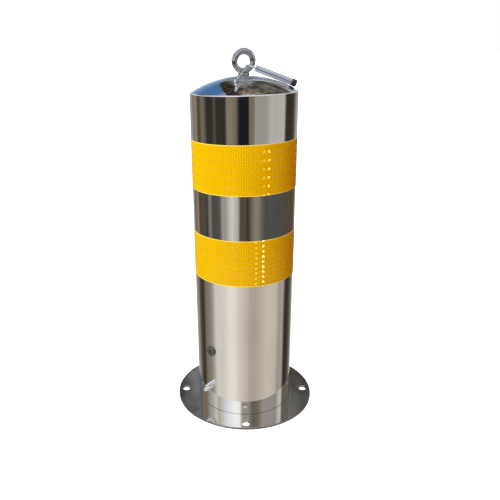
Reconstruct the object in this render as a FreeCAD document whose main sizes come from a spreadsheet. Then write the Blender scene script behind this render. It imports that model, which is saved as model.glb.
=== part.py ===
import FreeCAD, Part
import math
import os

import Sketcher
from FreeCAD import Placement, Rotation, Vector

# Removable crash-protection bollard in polished stainless steel.
# The post drops over a fixed sleeve and is locked to it through its side.
# Origin: centre of the base plate's underside. +Z is up and -Y is the front.
# Lengths are in millimetres and angles in degrees.

doc = FreeCAD.newDocument("bollard")

SIZES = (
    ("flange_diameter", 320.0, "base plate, outside"),
    ("flange_thickness", 5.0, "base plate"),
    ("flange_edge_radius", 0.8, "rounding of the base plate's upper edge"),
    ("bolt_edge_distance", 17.5, "middle of an anchor hole in from the base plate's edge"),
    ("bolt_hole_diameter", 18.0, "one anchor hole"),
    ("bolt_hole_count", 4, "anchor holes"),
    ("sleeve_gap", 22.5, "between the post's bore and the fixed sleeve, on the radius"),
    ("sleeve_wall", 3.0, "fixed sleeve"),
    ("sleeve_height", 180.0, "fixed sleeve above the base plate"),
    ("sleeve_lead_in", 1.5, "chamfer round the sleeve's top edge"),
    ("guide_gap", 6.5, "between the post's bore and the rings that centre it, on the radius"),
    ("guide_thickness", 5.0, "each ring that centres the post"),
    ("guide_chamfer", 1.0, "bevel of each ring's upper outer edge"),
    ("notch_width", 34.0, "gap in the keeper ring that the lock passes through"),
    ("tube_diameter", 219.0, "post tube, outside"),
    ("tube_wall", 3.0, "post tube"),
    ("tube_foot_chamfer", 0.8, "bevel inside the post tube's lower end"),
    ("post_height", 700.0, "post from the base plate to the cap's rim"),
    ("cap_skirt", 12.0, "straight edge of the cap below its rim"),
    ("cap_rise", 30.0, "dome above its rim"),
    ("cap_wall", 3.0, "pressed cap"),
    ("cap_rim_radius", 2.5, "rounding at the rim of the cap"),
    ("band_width", 100.0, "each reflective band"),
    ("band_film", 0.5, "thickness of the reflective film"),
    ("band_glue", 0.05, "glue between the reflective film and the post"),
    ("lower_band_height", 317.5, "lower band's lower edge above the base plate"),
    ("upper_band_height", 510.0, "upper band's lower edge above the base plate"),
    ("eye_mean_radius", 18.5, "lifting eye, to the middle of its bar"),
    ("eye_bar_radius", 5.7, "bar of the lifting eye"),
    ("eye_centre_height", 27.3, "middle of the eye above the cap"),
    ("eye_turn_angle", 13.0, "the eye's face turned away from the front"),
    ("eye_collar_radius", 11.5, "foot of the lifting eye"),
    ("eye_collar_height", 5.0, "straight part of the eye's foot"),
    ("shank_diameter", 12.0, "screw of the lifting eye"),
    ("shank_length", 27.0, "screw of the lifting eye below the cap's top"),
    ("shank_hole_clearance", 0.5, "round the screw in the cap, on the radius"),
    ("thread_clearance", 0.05, "between a screw and its nut, on the radius"),
    ("washer_diameter", 24.0, "washers under the cap, outside"),
    ("washer_thickness", 2.5, "flat washer under the cap"),
    ("spring_washer_diameter", 20.0, "split washer, outside"),
    ("spring_washer_thickness", 2.5, "split washer"),
    ("spring_washer_split", 1.5, "gap in the split washer"),
    ("eye_nut_corners", 20.8, "nut on the lifting eye, across its corners"),
    ("eye_nut_height", 10.0, "nut on the lifting eye"),
    ("seat_gap", 0.1, "running gap where a flat piece meets a curved one"),
    ("lock_bearing_angle", 43.5, "lock, round from the front to the left"),
    ("lock_height", 149.0, "lock above the base plate"),
    ("lock_barrel_diameter", 19.0, "lock body, outside"),
    ("lock_barrel_length", 17.0, "lock body behind its head"),
    ("lock_head_diameter", 22.0, "lock body's head"),
    ("lock_head_thickness", 2.5, "lock body's head"),
    ("lock_head_chamfer", 0.7, "bevel of the lock body's head"),
    ("lock_hole_clearance", 0.3, "round the lock body in the post, on the radius"),
    ("gasket_thickness", 1.0, "seal under the lock's head, at its thinnest"),
    ("gasket_width", 2.0, "seal under the lock's head, on the radius"),
    ("lock_nut_corners", 27.0, "nut that holds the lock, across its corners"),
    ("lock_nut_thickness", 4.0, "nut that holds the lock"),
    ("core_diameter", 12.0, "turning core of the lock"),
    ("core_face_diameter", 14.0, "turning core's face"),
    ("core_face_thickness", 2.0, "turning core's face"),
    ("core_clearance", 0.1, "round the turning core, on the radius"),
    ("tang_diameter", 8.0, "rear end of the turning core"),
    ("tang_start", 0.4, "core behind the lock body before the cam"),
    ("keyway_width", 2.4, "slot for the key"),
    ("keyway_height", 8.0, "slot for the key"),
    ("keyway_depth", 8.0, "slot for the key"),
    ("cam_width", 16.0, "locking cam"),
    ("cam_reach", 30.0, "locking cam from the lock's axis to its tip"),
    ("cam_thickness", 2.5, "locking cam"),
    ("cam_ring_gap", 1.5, "between the closed cam and the keeper ring above it"),
    ("cam_screw_diameter", 5.0, "screw that holds the cam"),
    ("cam_screw_length", 8.0, "screw that holds the cam, below its head"),
    ("cam_screw_head_diameter", 10.0, "head of the cam's screw"),
    ("cam_screw_head_thickness", 2.8, "head of the cam's screw"),
    ("staple_bearing_angle", 46.0, "staple, round from the front to the left"),
    ("staple_height", 57.0, "middle of the staple above the base plate"),
    ("staple_bar_radius", 3.5, "bent bar of the staple"),
    ("staple_bend_radius", 16.5, "staple, to the middle of its bar"),
    ("staple_leg", 1.0, "straight part of each leg outside the post"),
    ("staple_slope_angle", 57.0, "staple's loop turned up from level"),
    ("grip_diameter", 12.5, "grip of the lifting key"),
    ("grip_length", 84.5, "grip of the lifting key"),
    ("grip_bore_depth", 20.0, "bore in the grip for the key's rod"),
    ("grip_end_bevel", 1.0, "bevel at the grip's open end"),
    ("grip_cap_diameter", 14.0, "end cap of the grip"),
    ("grip_cap_length", 10.5, "end cap of the grip"),
    ("grip_cap_end", 3.0, "end cap beyond the grip"),
    ("grip_cap_rounding", 2.5, "rounding of the end cap"),
    ("rod_diameter", 4.2, "rod of the lifting key"),
    ("rod_contact_angle", 37.0, "where the rod leans on the eye, below the eye's level middle"),
    ("rod_to_grip", 8.7, "from where the rod leans on the eye to the grip"),
    ("rod_corner", 16.2, "rod beyond the grip before it turns"),
    ("rod_bend_radius", 5.0, "turn of the rod at the grip"),
    ("hook_bend_radius", 3.6, "turn of the rod at its hook"),
    ("hook_side", -21.0, "hook's bend, to the right of the middle"),
    ("hook_front", 87.5, "hook's bend, in front of the middle"),
    ("hook_rise", 12.05, "hook's bend above the cap"),
    ("tip_side", -16.2, "tip of the hook, to the right of the middle"),
    ("tip_front", 76.5, "tip of the hook, in front of the middle"),
    ("rest_gap", 0.3, "between the key and what it rests on"),
)

sheet = doc.addObject("Spreadsheet::Sheet", "Sizes")
for row, (alias, number, note) in enumerate(SIZES, 1):
    sheet.set("A%d" % row, alias)
    sheet.set("B%d" % row, str(number))
    sheet.set("C%d" % row, note)
    sheet.setAlias("B%d" % row, alias)
doc.recompute()


class Size:
    """A size of the sheet, or a sum of such sizes, with the expression that gives it."""

    def __init__(self, value, text):
        self.value = float(value)
        self.text = text

    def joined(self, sign, other, value, swapped=False):
        first, second = (other, self) if swapped else (self, other)
        return Size(value, "(%s %s %s)" % (first.text, sign, second.text))

    def __add__(self, other):
        other = as_size(other)
        return self.joined("+", other, self.value + other.value)

    def __sub__(self, other):
        other = as_size(other)
        return self.joined("-", other, self.value - other.value)

    def __mul__(self, other):
        other = as_size(other)
        return self.joined("*", other, self.value * other.value)

    def __truediv__(self, other):
        other = as_size(other)
        return self.joined("/", other, self.value / other.value)

    def __neg__(self):
        return Size(-self.value, "(0 - %s)" % self.text)


def as_size(number):
    return number if isinstance(number, Size) else Size(number, "%.6f" % number)


def size(alias):
    return Size(sheet.get(alias), "Sizes.%s" % alias)


def bind(thing, **sizes):
    """Set properties of a primitive or feature and tie them to the sheet."""
    for name, value in sizes.items():
        value = as_size(value)
        setattr(thing, name, value.value)
        thing.setExpression(name, value.text)


NOTHING = as_size(0)


# Sketches


def new_body(label):
    body = doc.addObject("PartDesign::Body", label)
    body.Label = label
    return body


def new_sketch(body, role, offset=None):
    sketch = body.newObject("Sketcher::SketchObject", body.Label + "_sketch")
    plane = next(item for item in body.Origin.OriginFeatures if item.Role == role)
    sketch.AttachmentSupport = [(plane, "")]
    sketch.MapMode = "FlatFace"
    if offset is not None:
        sketch.AttachmentOffset = Placement(Vector(0, 0, offset.value), Rotation())
        sketch.setExpression("AttachmentOffset.Base.z", offset.text)
    return sketch


def dimension(sketch, constraint, value):
    """Add a dimension and tie it to the sheet."""
    index = sketch.addConstraint(constraint)
    sketch.setExpression("Constraints[%d]" % index, value.text)


def hold_point(sketch, geometry, point, across, up):
    """Hold a sketch point at a place given by two sizes, or on an axis where one is nothing."""
    if across is NOTHING:
        sketch.addConstraint(Sketcher.Constraint("PointOnObject", geometry, point, -2))
    else:
        start = ("DistanceX", -1, 1, geometry, point, across.value)
        dimension(sketch, Sketcher.Constraint(*start), across)
    if up is NOTHING:
        sketch.addConstraint(Sketcher.Constraint("PointOnObject", geometry, point, -1))
    else:
        start = ("DistanceY", -1, 1, geometry, point, up.value)
        dimension(sketch, Sketcher.Constraint(*start), up)


def draw_circle(sketch, radius, across=NOTHING, up=NOTHING):
    circle = Part.Circle(Vector(across.value, up.value, 0), Vector(0, 0, 1), radius.value)
    index = sketch.addGeometry(circle)
    hold_point(sketch, index, 3, across, up)
    dimension(sketch, Sketcher.Constraint("Radius", index, radius.value), radius)


def draw_outline(sketch, points):
    """Draw a closed outline of straight edges through points given by sizes."""
    corners = [Vector(across.value, up.value, 0) for across, up in points]
    edges = [
        sketch.addGeometry(Part.LineSegment(corner, corners[(number + 1) % len(corners)]))
        for number, corner in enumerate(corners)
    ]
    for number, edge in enumerate(edges):
        following = edges[(number + 1) % len(edges)]
        sketch.addConstraint(Sketcher.Constraint("Coincident", edge, 2, following, 1))
    for edge, (across, up) in zip(edges, points):
        hold_point(sketch, edge, 1, across, up)


# Features


def add_pad(body, sketch, length, reverse=False):
    pad = body.newObject("PartDesign::Pad", body.Label + "_pad")
    pad.Profile = sketch
    bind(pad, Length=length)
    pad.Reversed = reverse
    return pad


def add_pocket(body, sketch, length, reverse=False):
    """Cut a pocket and make sure that it takes material away."""
    doc.recompute()
    before = body.Shape.Volume
    pocket = body.newObject("PartDesign::Pocket", body.Label + "_pocket")
    pocket.Profile = sketch
    bind(pocket, Length=length)
    pocket.Reversed = reverse
    doc.recompute()
    if body.Shape.Volume >= before - 1e-3:
        raise RuntimeError("the pocket of %s cuts nothing" % body.Label)
    return pocket


def add_revolution(body, sketch):
    turned = body.newObject("PartDesign::Revolution", body.Label + "_turned")
    turned.Profile = sketch
    turned.ReferenceAxis = (sketch, ["V_Axis"])
    turned.Angle = 360
    return turned


def circle_edges(feature, radius, height):
    """Names of a feature's circular edges of one radius at one height."""
    names = []
    for number, edge in enumerate(feature.Shape.Edges, 1):
        round_edge = isinstance(edge.Curve, Part.Circle)
        if not round_edge or abs(edge.Curve.Radius - radius.value) > 1e-3:
            continue
        if abs(edge.Curve.Center.z - height.value) < 1e-3:
            names.append("Edge%d" % number)
    return names


def break_edge(body, feature, kind, radius, height, amount):
    """Round or bevel the circular edges of one radius at one height."""
    doc.recompute()
    edge = body.newObject("PartDesign::" + kind, body.Label + "_edge")
    edge.Base = (feature, circle_edges(feature, radius, height))
    bind(edge, **{"Radius" if kind == "Fillet" else "Size": amount})
    body.Tip = edge
    return edge


def ring_body(label, outer, inner, height, bottom):
    """A flat ring or a length of tube, standing on a given height."""
    body = new_body(label)
    sketch = new_sketch(body, "XY_Plane")
    draw_circle(sketch, outer)
    draw_circle(sketch, inner)
    pad = add_pad(body, sketch, height)
    raise_to(body, bottom)
    return body, pad


def turned_body(label, role, points):
    """A piece turned about its own axis from an outline."""
    body = new_body(label)
    sketch = new_sketch(body, role)
    draw_outline(sketch, points)
    add_revolution(body, sketch)
    return body


def primitive(kind, label, **sizes):
    thing = doc.addObject(kind, label)
    thing.Label = label
    bind(thing, **sizes)
    return thing


def cut(label, base, tool):
    result = doc.addObject("Part::Cut", label)
    result.Label = label
    result.Base = base
    result.Tool = tool
    return result


def fuse(label, pieces):
    result = doc.addObject("Part::MultiFuse", label)
    result.Label = label
    result.Shapes = pieces
    result.Refine = True
    return result


# Places


def raise_to(thing, height):
    thing.Placement.Base.z = height.value
    thing.setExpression("Placement.Base.z", height.text)


def swing_round(thing, bearing, height):
    """Put a piece made with its axis to the front at a bearing and a height."""
    down = Vector(0, 0, -1)
    thing.Placement = Placement(Vector(0, 0, height.value), Rotation(down, bearing.value))
    thing.setExpression("Placement.Base.z", height.text)
    thing.setExpression("Placement.Rotation.Angle", bearing.text)


def swing_to_lock(thing, height):
    swing_round(thing, size("lock_bearing_angle"), height)


def face_front(thing, distance):
    """Lay a primitive's own axis along -Y, with its base a distance in front of the middle."""
    thing.Placement = Placement(Vector(0, -distance.value, 0), Rotation(Vector(1, 0, 0), 90))
    thing.setExpression("Placement.Base.y", (-distance).text)


# Sizes worked out once and used by several pieces

ground_plate_top = size("flange_thickness")
tube_radius = size("tube_diameter") / 2
tube_bore_radius = tube_radius - size("tube_wall")
tube_length = size("post_height") - size("cap_skirt")
rim_height = ground_plate_top + size("post_height")
cap_top = rim_height + size("cap_rise")
cap_inner_top = cap_top - size("cap_wall")
sleeve_radius = tube_bore_radius - size("sleeve_gap")
guide_radius = tube_bore_radius - size("guide_gap")
shank_radius = size("shank_diameter") / 2
rod_radius = size("rod_diameter") / 2
grip_radius = size("grip_diameter") / 2
lock_centre = ground_plate_top + size("lock_height")

# A dome of a given rise on a given radius is part of a ball of this radius.
dome_rise = size("cap_rise")
dome_radius = (tube_radius * tube_radius + dome_rise * dome_rise) / (dome_rise * 2)

# Distances in front of the post's axis, along the lock's own axis
lock_seat = tube_radius + size("gasket_thickness")
lock_face = lock_seat + size("lock_head_thickness")
barrel_end = lock_seat - size("lock_barrel_length")
cam_front = barrel_end - size("tang_start")
cam_back = cam_front - size("cam_thickness")


# Fixed base


def make_base_flange():
    """Round plate with its anchor holes."""
    body = new_body("base_flange")
    sketch = new_sketch(body, "XY_Plane")
    draw_circle(sketch, size("flange_diameter") / 2)
    add_pad(body, sketch, ground_plate_top)
    doc.recompute()
    hole_sketch = new_sketch(body, "XY_Plane")
    hole_place = size("bolt_edge_distance") - size("flange_diameter") / 2
    draw_circle(hole_sketch, size("bolt_hole_diameter") / 2, up=hole_place)
    hole = add_pocket(body, hole_sketch, ground_plate_top, reverse=True)
    pattern = body.newObject("PartDesign::PolarPattern", "anchor_holes")
    pattern.Originals = [hole]
    pattern.Axis = (hole_sketch, ["N_Axis"])
    pattern.Angle = 360
    pattern.Occurrences = int(size("bolt_hole_count").value)
    pattern.setExpression("Occurrences", size("bolt_hole_count").text)
    body.Tip = pattern
    edge_radius = size("flange_edge_radius")
    break_edge(body, pattern, "Fillet", size("flange_diameter") / 2, ground_plate_top, edge_radius)
    return body


def make_base_sleeve():
    """Tube welded on the base plate, inside the post."""
    inner = sleeve_radius - size("sleeve_wall")
    height = size("sleeve_height")
    body, pad = ring_body("base_sleeve", sleeve_radius, inner, height, ground_plate_top)
    break_edge(body, pad, "Chamfer", sleeve_radius, height, size("sleeve_lead_in"))
    return body


def make_foot_ring():
    """Plain ring at the foot of the sleeve that centres the post."""
    height = size("guide_thickness")
    body, pad = ring_body("foot_ring", guide_radius, sleeve_radius, height, ground_plate_top)
    break_edge(body, pad, "Chamfer", guide_radius, height, size("guide_chamfer"))
    return body


def make_keeper_ring():
    """Ring above the closed cam, with a notch that the open lock passes through."""
    height = size("guide_thickness")
    bottom = lock_centre + size("cam_width") / 2 + size("cam_ring_gap")
    body, pad = ring_body("keeper_ring", guide_radius, sleeve_radius, height, bottom)
    edge = break_edge(body, pad, "Chamfer", guide_radius, height, size("guide_chamfer"))
    doc.recompute()
    sketch = new_sketch(body, "XY_Plane")
    half = size("notch_width") / 2
    inside = -(sleeve_radius - size("sleeve_wall"))
    outside = -(guide_radius + size("guide_thickness"))
    draw_outline(sketch, [(-half, outside), (half, outside), (half, inside), (-half, inside)])
    body.Tip = edge
    add_pocket(body, sketch, height, reverse=True)
    swing_to_lock(body, bottom)
    return body


# Post


def make_post_tube():
    """Main tube, with the hole for the lock."""
    body, pad = ring_body("post_tube", tube_radius, tube_bore_radius, tube_length, ground_plate_top)
    bevel = size("tube_foot_chamfer")
    edge = break_edge(body, pad, "Chamfer", tube_bore_radius, NOTHING, bevel)
    doc.recompute()
    sketch = new_sketch(body, "XZ_Plane")
    hole_radius = size("lock_barrel_diameter") / 2 + size("lock_hole_clearance")
    draw_circle(sketch, hole_radius, up=size("lock_height"))
    body.Tip = edge
    add_pocket(body, sketch, tube_radius + size("tube_wall"), reverse=True)
    swing_to_lock(body, ground_plate_top)
    return body


def make_dome_cap():
    """Pressed cap: a shallow dome with a rounded rim and a short straight skirt."""
    body = new_body("dome_cap")
    sketch = new_sketch(body, "XZ_Plane")
    hole = shank_radius + size("shank_hole_clearance")
    centre_height = cap_top - dome_radius
    centre = Vector(0, centre_height.value, 0)
    inner_radius = dome_radius - size("cap_wall")
    rim = Vector(tube_radius.value, rim_height.value, 0)
    skirt_bottom = rim_height - size("cap_skirt")
    outer_foot = Vector(tube_radius.value, skirt_bottom.value, 0)
    inner_foot = Vector(tube_bore_radius.value, skirt_bottom.value, 0)

    def dome_point(radius, across):
        up = centre.y + math.sqrt(radius.value ** 2 - across.value ** 2)
        return Vector(across.value, up, 0)

    def dome_arc(radius, across):
        circle = Part.Circle(centre, Vector(0, 0, 1), radius.value)
        start = math.acos(across.value / radius.value)
        end = math.acos(hole.value / radius.value)
        return sketch.addGeometry(Part.ArcOfCircle(circle, start, end))

    inner_rim = dome_point(inner_radius, tube_bore_radius)
    outer_arc = dome_arc(dome_radius, tube_radius)
    inner_arc = dome_arc(inner_radius, tube_bore_radius)
    skirt = sketch.addGeometry(Part.LineSegment(rim, outer_foot))
    foot = sketch.addGeometry(Part.LineSegment(outer_foot, inner_foot))
    bore = sketch.addGeometry(Part.LineSegment(inner_foot, inner_rim))
    hole_top = dome_point(dome_radius, hole)
    hole_bottom = dome_point(inner_radius, hole)
    edge = sketch.addGeometry(Part.LineSegment(hole_bottom, hole_top))
    joints = (
        (outer_arc, 1, skirt, 1),
        (skirt, 2, foot, 1),
        (foot, 2, bore, 1),
        (bore, 2, inner_arc, 1),
        (inner_arc, 2, edge, 1),
        (edge, 2, outer_arc, 2),
        (outer_arc, 3, inner_arc, 3),
    )
    for joint in joints:
        sketch.addConstraint(Sketcher.Constraint("Coincident", *joint))
    hold_point(sketch, outer_arc, 3, NOTHING, centre_height)
    dimension(sketch, Sketcher.Constraint("Radius", outer_arc, dome_radius.value), dome_radius)
    dimension(sketch, Sketcher.Constraint("Radius", inner_arc, inner_radius.value), inner_radius)
    hold_point(sketch, foot, 1, tube_radius, skirt_bottom)
    hold_point(sketch, foot, 2, tube_bore_radius, skirt_bottom)
    sketch.addConstraint(Sketcher.Constraint("Vertical", skirt))
    sketch.addConstraint(Sketcher.Constraint("Vertical", bore))
    sketch.addConstraint(Sketcher.Constraint("Vertical", edge))
    dimension(sketch, Sketcher.Constraint("DistanceX", -1, 1, edge, 1, hole.value), hole)
    turned = add_revolution(body, sketch)
    break_edge(body, turned, "Fillet", tube_radius, rim_height, size("cap_rim_radius"))
    return body


def make_band(label, bottom):
    """Reflective film wrapped round the tube."""
    inner = tube_radius + size("band_glue")
    outer = inner + size("band_film")
    height = ground_plate_top + bottom
    return ring_body(label, outer, inner, size("band_width"), height)[0]


# Lifting eye and what holds it


def make_lifting_eye():
    """Forged ring on a tapered foot, with a screw below."""
    ring = primitive(
        "Part::Torus", "eye_ring", Radius1=size("eye_mean_radius"), Radius2=size("eye_bar_radius")
    )
    ring.Placement.Rotation = Rotation(Vector(1, 0, 0), 90)
    raise_to(ring, size("eye_centre_height"))
    collar_radius = size("eye_collar_radius")
    collar_height = size("eye_collar_height")
    collar = primitive("Part::Cylinder", "eye_collar", Radius=collar_radius, Height=collar_height)
    taper_height = size("eye_centre_height") - size("eye_mean_radius") - collar_height
    taper = primitive(
        "Part::Cone",
        "eye_taper",
        Radius1=collar_radius,
        Radius2=size("eye_bar_radius"),
        Height=taper_height,
    )
    raise_to(taper, collar_height)
    length = size("shank_length")
    shank = primitive("Part::Cylinder", "eye_shank", Radius=shank_radius, Height=length)
    raise_to(shank, -length)
    eye = fuse("lifting_eye", [ring, collar, taper, shank])
    turn = size("eye_turn_angle")
    eye.Placement = Placement(Vector(0, 0, cap_top.value), Rotation(Vector(0, 0, 1), turn.value))
    eye.setExpression("Placement.Base.z", cap_top.text)
    eye.setExpression("Placement.Rotation.Angle", turn.text)
    return eye


def make_eye_fasteners():
    """Flat washer, split washer and nut, one below the other under the cap."""
    hole = shank_radius + size("shank_hole_clearance")
    outer = size("washer_diameter") / 2
    # The cap's inside drops away from its top, so the washer starts that much lower.
    drop = outer * outer / (dome_radius * 2) + size("seat_gap")
    top = cap_inner_top - drop
    bottom = top - size("washer_thickness")
    washer = ring_body("eye_washer", outer, hole, size("washer_thickness"), bottom)[0]
    split_bottom = bottom - size("spring_washer_thickness")
    split_ring = ring_body(
        "eye_split_ring",
        size("spring_washer_diameter") / 2,
        shank_radius + size("thread_clearance"),
        size("spring_washer_thickness"),
        split_bottom,
    )[0]
    slot = primitive(
        "Part::Box",
        "eye_split",
        Length=size("spring_washer_diameter"),
        Width=size("spring_washer_split"),
        Height=size("spring_washer_thickness") * 3,
    )
    slot.Placement.Rotation = Rotation(Vector(1, 0, 0), 20)
    raise_to(slot, split_bottom - size("spring_washer_thickness"))
    split_washer = cut("eye_split_washer", split_ring, slot)
    height = size("eye_nut_height")
    blank = primitive(
        "Part::Prism", "eye_nut_blank", Circumradius=size("eye_nut_corners") / 2, Height=height
    )
    blank.Polygon = 6
    thread_radius = shank_radius + size("thread_clearance")
    thread = primitive("Part::Cylinder", "eye_nut_thread", Radius=thread_radius, Height=height)
    nut = cut("eye_nut", blank, thread)
    raise_to(nut, split_bottom - height)
    return [washer, split_washer, nut]


# Lock


def make_lock_body():
    """Head outside the post and threaded barrel inside it, bored for the turning core."""
    bore = size("core_diameter") / 2 + size("core_clearance")
    face_bore = size("core_face_diameter") / 2 + size("core_clearance")
    step = lock_face - size("core_face_thickness") - size("core_clearance")
    barrel = size("lock_barrel_diameter") / 2
    head = size("lock_head_diameter") / 2
    bevel = size("lock_head_chamfer")
    body = turned_body(
        "lock_body",
        "XY_Plane",
        [
            (bore, -barrel_end),
            (barrel, -barrel_end),
            (barrel, -lock_seat),
            (head, -lock_seat),
            (head, -(lock_face - bevel)),
            (head - bevel, -lock_face),
            (face_bore, -lock_face),
            (face_bore, -step),
            (bore, -step),
        ],
    )
    swing_to_lock(body, lock_centre)
    return body


def make_lock_gasket():
    """Seal between the flat head and the round post."""
    inner = size("lock_barrel_diameter") / 2 + size("lock_hole_clearance")
    outer = inner + size("gasket_width")
    depth = size("gasket_thickness") * 3
    blank = primitive("Part::Cylinder", "gasket_blank", Radius=outer, Height=depth)
    hole = primitive("Part::Cylinder", "gasket_hole", Radius=inner, Height=depth)
    for piece in (blank, hole):
        face_front(piece, lock_seat - depth)
    ring = cut("gasket_ring", blank, hole)
    post = primitive("Part::Cylinder", "gasket_seat", Radius=tube_radius, Height=outer * 4)
    raise_to(post, outer * -2)
    gasket = cut("lock_gasket", ring, post)
    swing_to_lock(gasket, lock_centre)
    return gasket


def make_lock_nut():
    """Six-sided nut against the inside of the post."""
    corner = size("lock_nut_corners") / 2
    # A flat nut in a round bore touches at its corners, this far in from the wall.
    curve = corner * corner / (tube_bore_radius * 2) * 1.05
    thickness = size("lock_nut_thickness")
    back = tube_bore_radius - curve - size("seat_gap") - thickness
    blank = primitive("Part::Prism", "lock_nut_blank", Circumradius=corner, Height=thickness)
    blank.Polygon = 6
    thread_radius = size("lock_barrel_diameter") / 2 + size("thread_clearance")
    thread = primitive("Part::Cylinder", "lock_nut_thread", Radius=thread_radius, Height=thickness)
    for piece in (blank, thread):
        face_front(piece, back)
    nut = cut("lock_nut", blank, thread)
    swing_to_lock(nut, lock_centre)
    return nut


def make_lock_core():
    """Turning core with a slot for the key and a tang for the cam."""
    radius = size("core_diameter") / 2
    face_radius = size("core_face_diameter") / 2
    step = lock_face - size("core_face_thickness")
    tang = size("tang_diameter") / 2
    screw = size("cam_screw_diameter") / 2
    screw_end = cam_back + size("cam_screw_length") + size("seat_gap")
    body = turned_body(
        "lock_core",
        "XY_Plane",
        [
            (NOTHING, -lock_face),
            (face_radius, -lock_face),
            (face_radius, -step),
            (radius, -step),
            (radius, -cam_front),
            (tang, -cam_front),
            (tang, -cam_back),
            (screw, -cam_back),
            (screw, -screw_end),
            (NOTHING, -screw_end),
        ],
    )
    doc.recompute()
    turned = body.Tip
    sketch = new_sketch(body, "XZ_Plane", offset=lock_face - size("keyway_depth"))
    across = size("keyway_width") / 2
    up = size("keyway_height") / 2
    draw_outline(sketch, [(-across, -up), (across, -up), (across, up), (-across, up)])
    body.Tip = turned
    add_pocket(body, sketch, size("keyway_depth") * 2, reverse=True)
    swing_to_lock(body, lock_centre)
    return body


def make_lock_cam():
    """Flat cam with round ends, hanging down while the lock is open."""
    body = new_body("lock_cam")
    sketch = new_sketch(body, "XZ_Plane", offset=cam_back)
    half = size("cam_width") / 2
    low = -(size("cam_reach") - half)
    top_arc = Part.ArcOfCircle(Part.Circle(Vector(), Vector(0, 0, 1), half.value), 0, math.pi)
    low_circle = Part.Circle(Vector(0, low.value, 0), Vector(0, 0, 1), half.value)
    upper = sketch.addGeometry(top_arc)
    lower = sketch.addGeometry(Part.ArcOfCircle(low_circle, math.pi, 2 * math.pi))
    left = sketch.addGeometry(
        Part.LineSegment(Vector(-half.value, 0, 0), Vector(-half.value, low.value, 0))
    )
    right = sketch.addGeometry(
        Part.LineSegment(Vector(half.value, low.value, 0), Vector(half.value, 0, 0))
    )
    for joint in ((upper, 2, left, 1), (left, 2, lower, 1), (lower, 2, right, 1), (right, 2, upper, 1)):
        sketch.addConstraint(Sketcher.Constraint("Tangent", *joint))
    sketch.addConstraint(Sketcher.Constraint("Coincident", upper, 3, -1, 1))
    hold_point(sketch, lower, 3, NOTHING, low)
    dimension(sketch, Sketcher.Constraint("Radius", upper, half.value), half)
    draw_circle(sketch, size("tang_diameter") / 2 + size("thread_clearance"))
    add_pad(body, sketch, size("cam_thickness"))
    swing_to_lock(body, lock_centre)
    return body


def make_cam_screw():
    """Round-headed screw that holds the cam on the core."""
    head = size("cam_screw_head_diameter") / 2
    shank = size("cam_screw_diameter") / 2 - size("thread_clearance")
    head_end = cam_back - size("cam_screw_head_thickness")
    shank_end = cam_back + size("cam_screw_length")
    body = turned_body(
        "cam_screw",
        "XY_Plane",
        [
            (NOTHING, -head_end),
            (head / 2, -head_end),
            (head, -(head_end + size("cam_screw_head_thickness") / 2)),
            (head, -cam_back),
            (shank, -cam_back),
            (shank, -shank_end),
            (NOTHING, -shank_end),
        ],
    )
    swing_to_lock(body, lock_centre)
    return body


# Staple


def make_chain_staple():
    """Bent round bar whose two ends are shaped to the post and welded to it."""
    bar = size("staple_bar_radius")
    bend = size("staple_bend_radius")
    shoulder = tube_radius + size("staple_leg")
    arch = primitive("Part::Torus", "staple_arch", Radius1=bend, Radius2=bar)
    arch.Angle3 = 180
    arch.Placement = Placement(Vector(0, -shoulder.value, 0), Rotation(Vector(0, 0, 1), 180))
    arch.setExpression("Placement.Base.y", (-shoulder).text)
    pieces = [arch]
    for label, side in (("staple_leg_low", -bend), ("staple_leg_high", bend)):
        leg = primitive("Part::Cylinder", label, Radius=bar, Height=size("staple_leg") + bar * 2)
        face_front(leg, tube_radius - bar * 2)
        leg.Placement.Base.x = side.value
        leg.setExpression("Placement.Base.x", side.text)
        pieces.append(leg)
    loop = fuse("staple_loop", pieces)
    slope = size("staple_slope_angle")
    loop.Placement = Placement(Vector(), Rotation(Vector(0, -1, 0), slope.value))
    loop.setExpression("Placement.Rotation.Angle", slope.text)
    reach = bend + bar * 2
    post = primitive("Part::Cylinder", "staple_seat", Radius=tube_radius, Height=reach * 2)
    raise_to(post, -reach)
    staple = cut("chain_staple", loop, post)
    height = ground_plate_top + size("staple_height")
    swing_round(staple, size("staple_bearing_angle"), height)
    return staple


# Lifting key that lies on the cap against the eye


def cap_height(across, along, above=0.0):
    """Height of a point that lies a distance above the dome, measured square to it."""
    ball = dome_radius.value
    centre = cap_top.value - ball
    return centre + math.sqrt((ball + above) ** 2 - across ** 2 - along ** 2)


def grip_direction(corner):
    """Direction in which the grip slopes down from a point until its end cap meets the dome."""
    ball = dome_radius.value
    centre = Vector(0, 0, cap_top.value - ball)
    wanted = ball + (size("grip_cap_diameter") / 2 + size("rest_gap")).value
    end = (size("grip_length") + size("grip_cap_end")).value
    start = end - size("grip_cap_length").value
    drop = corner - centre
    spare = drop.dot(drop) - wanted ** 2
    # The end cap is nearest to the dome here, on its own length.
    nearest = min(max(math.sqrt(spare), start), end - size("grip_cap_rounding").value)
    along = (nearest ** 2 + spare) / (2 * nearest)
    slope = math.atan2(drop.x, drop.z) + math.asin(along / math.hypot(drop.x, drop.z))
    return Vector(math.cos(slope), 0, -math.sin(slope))


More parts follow.
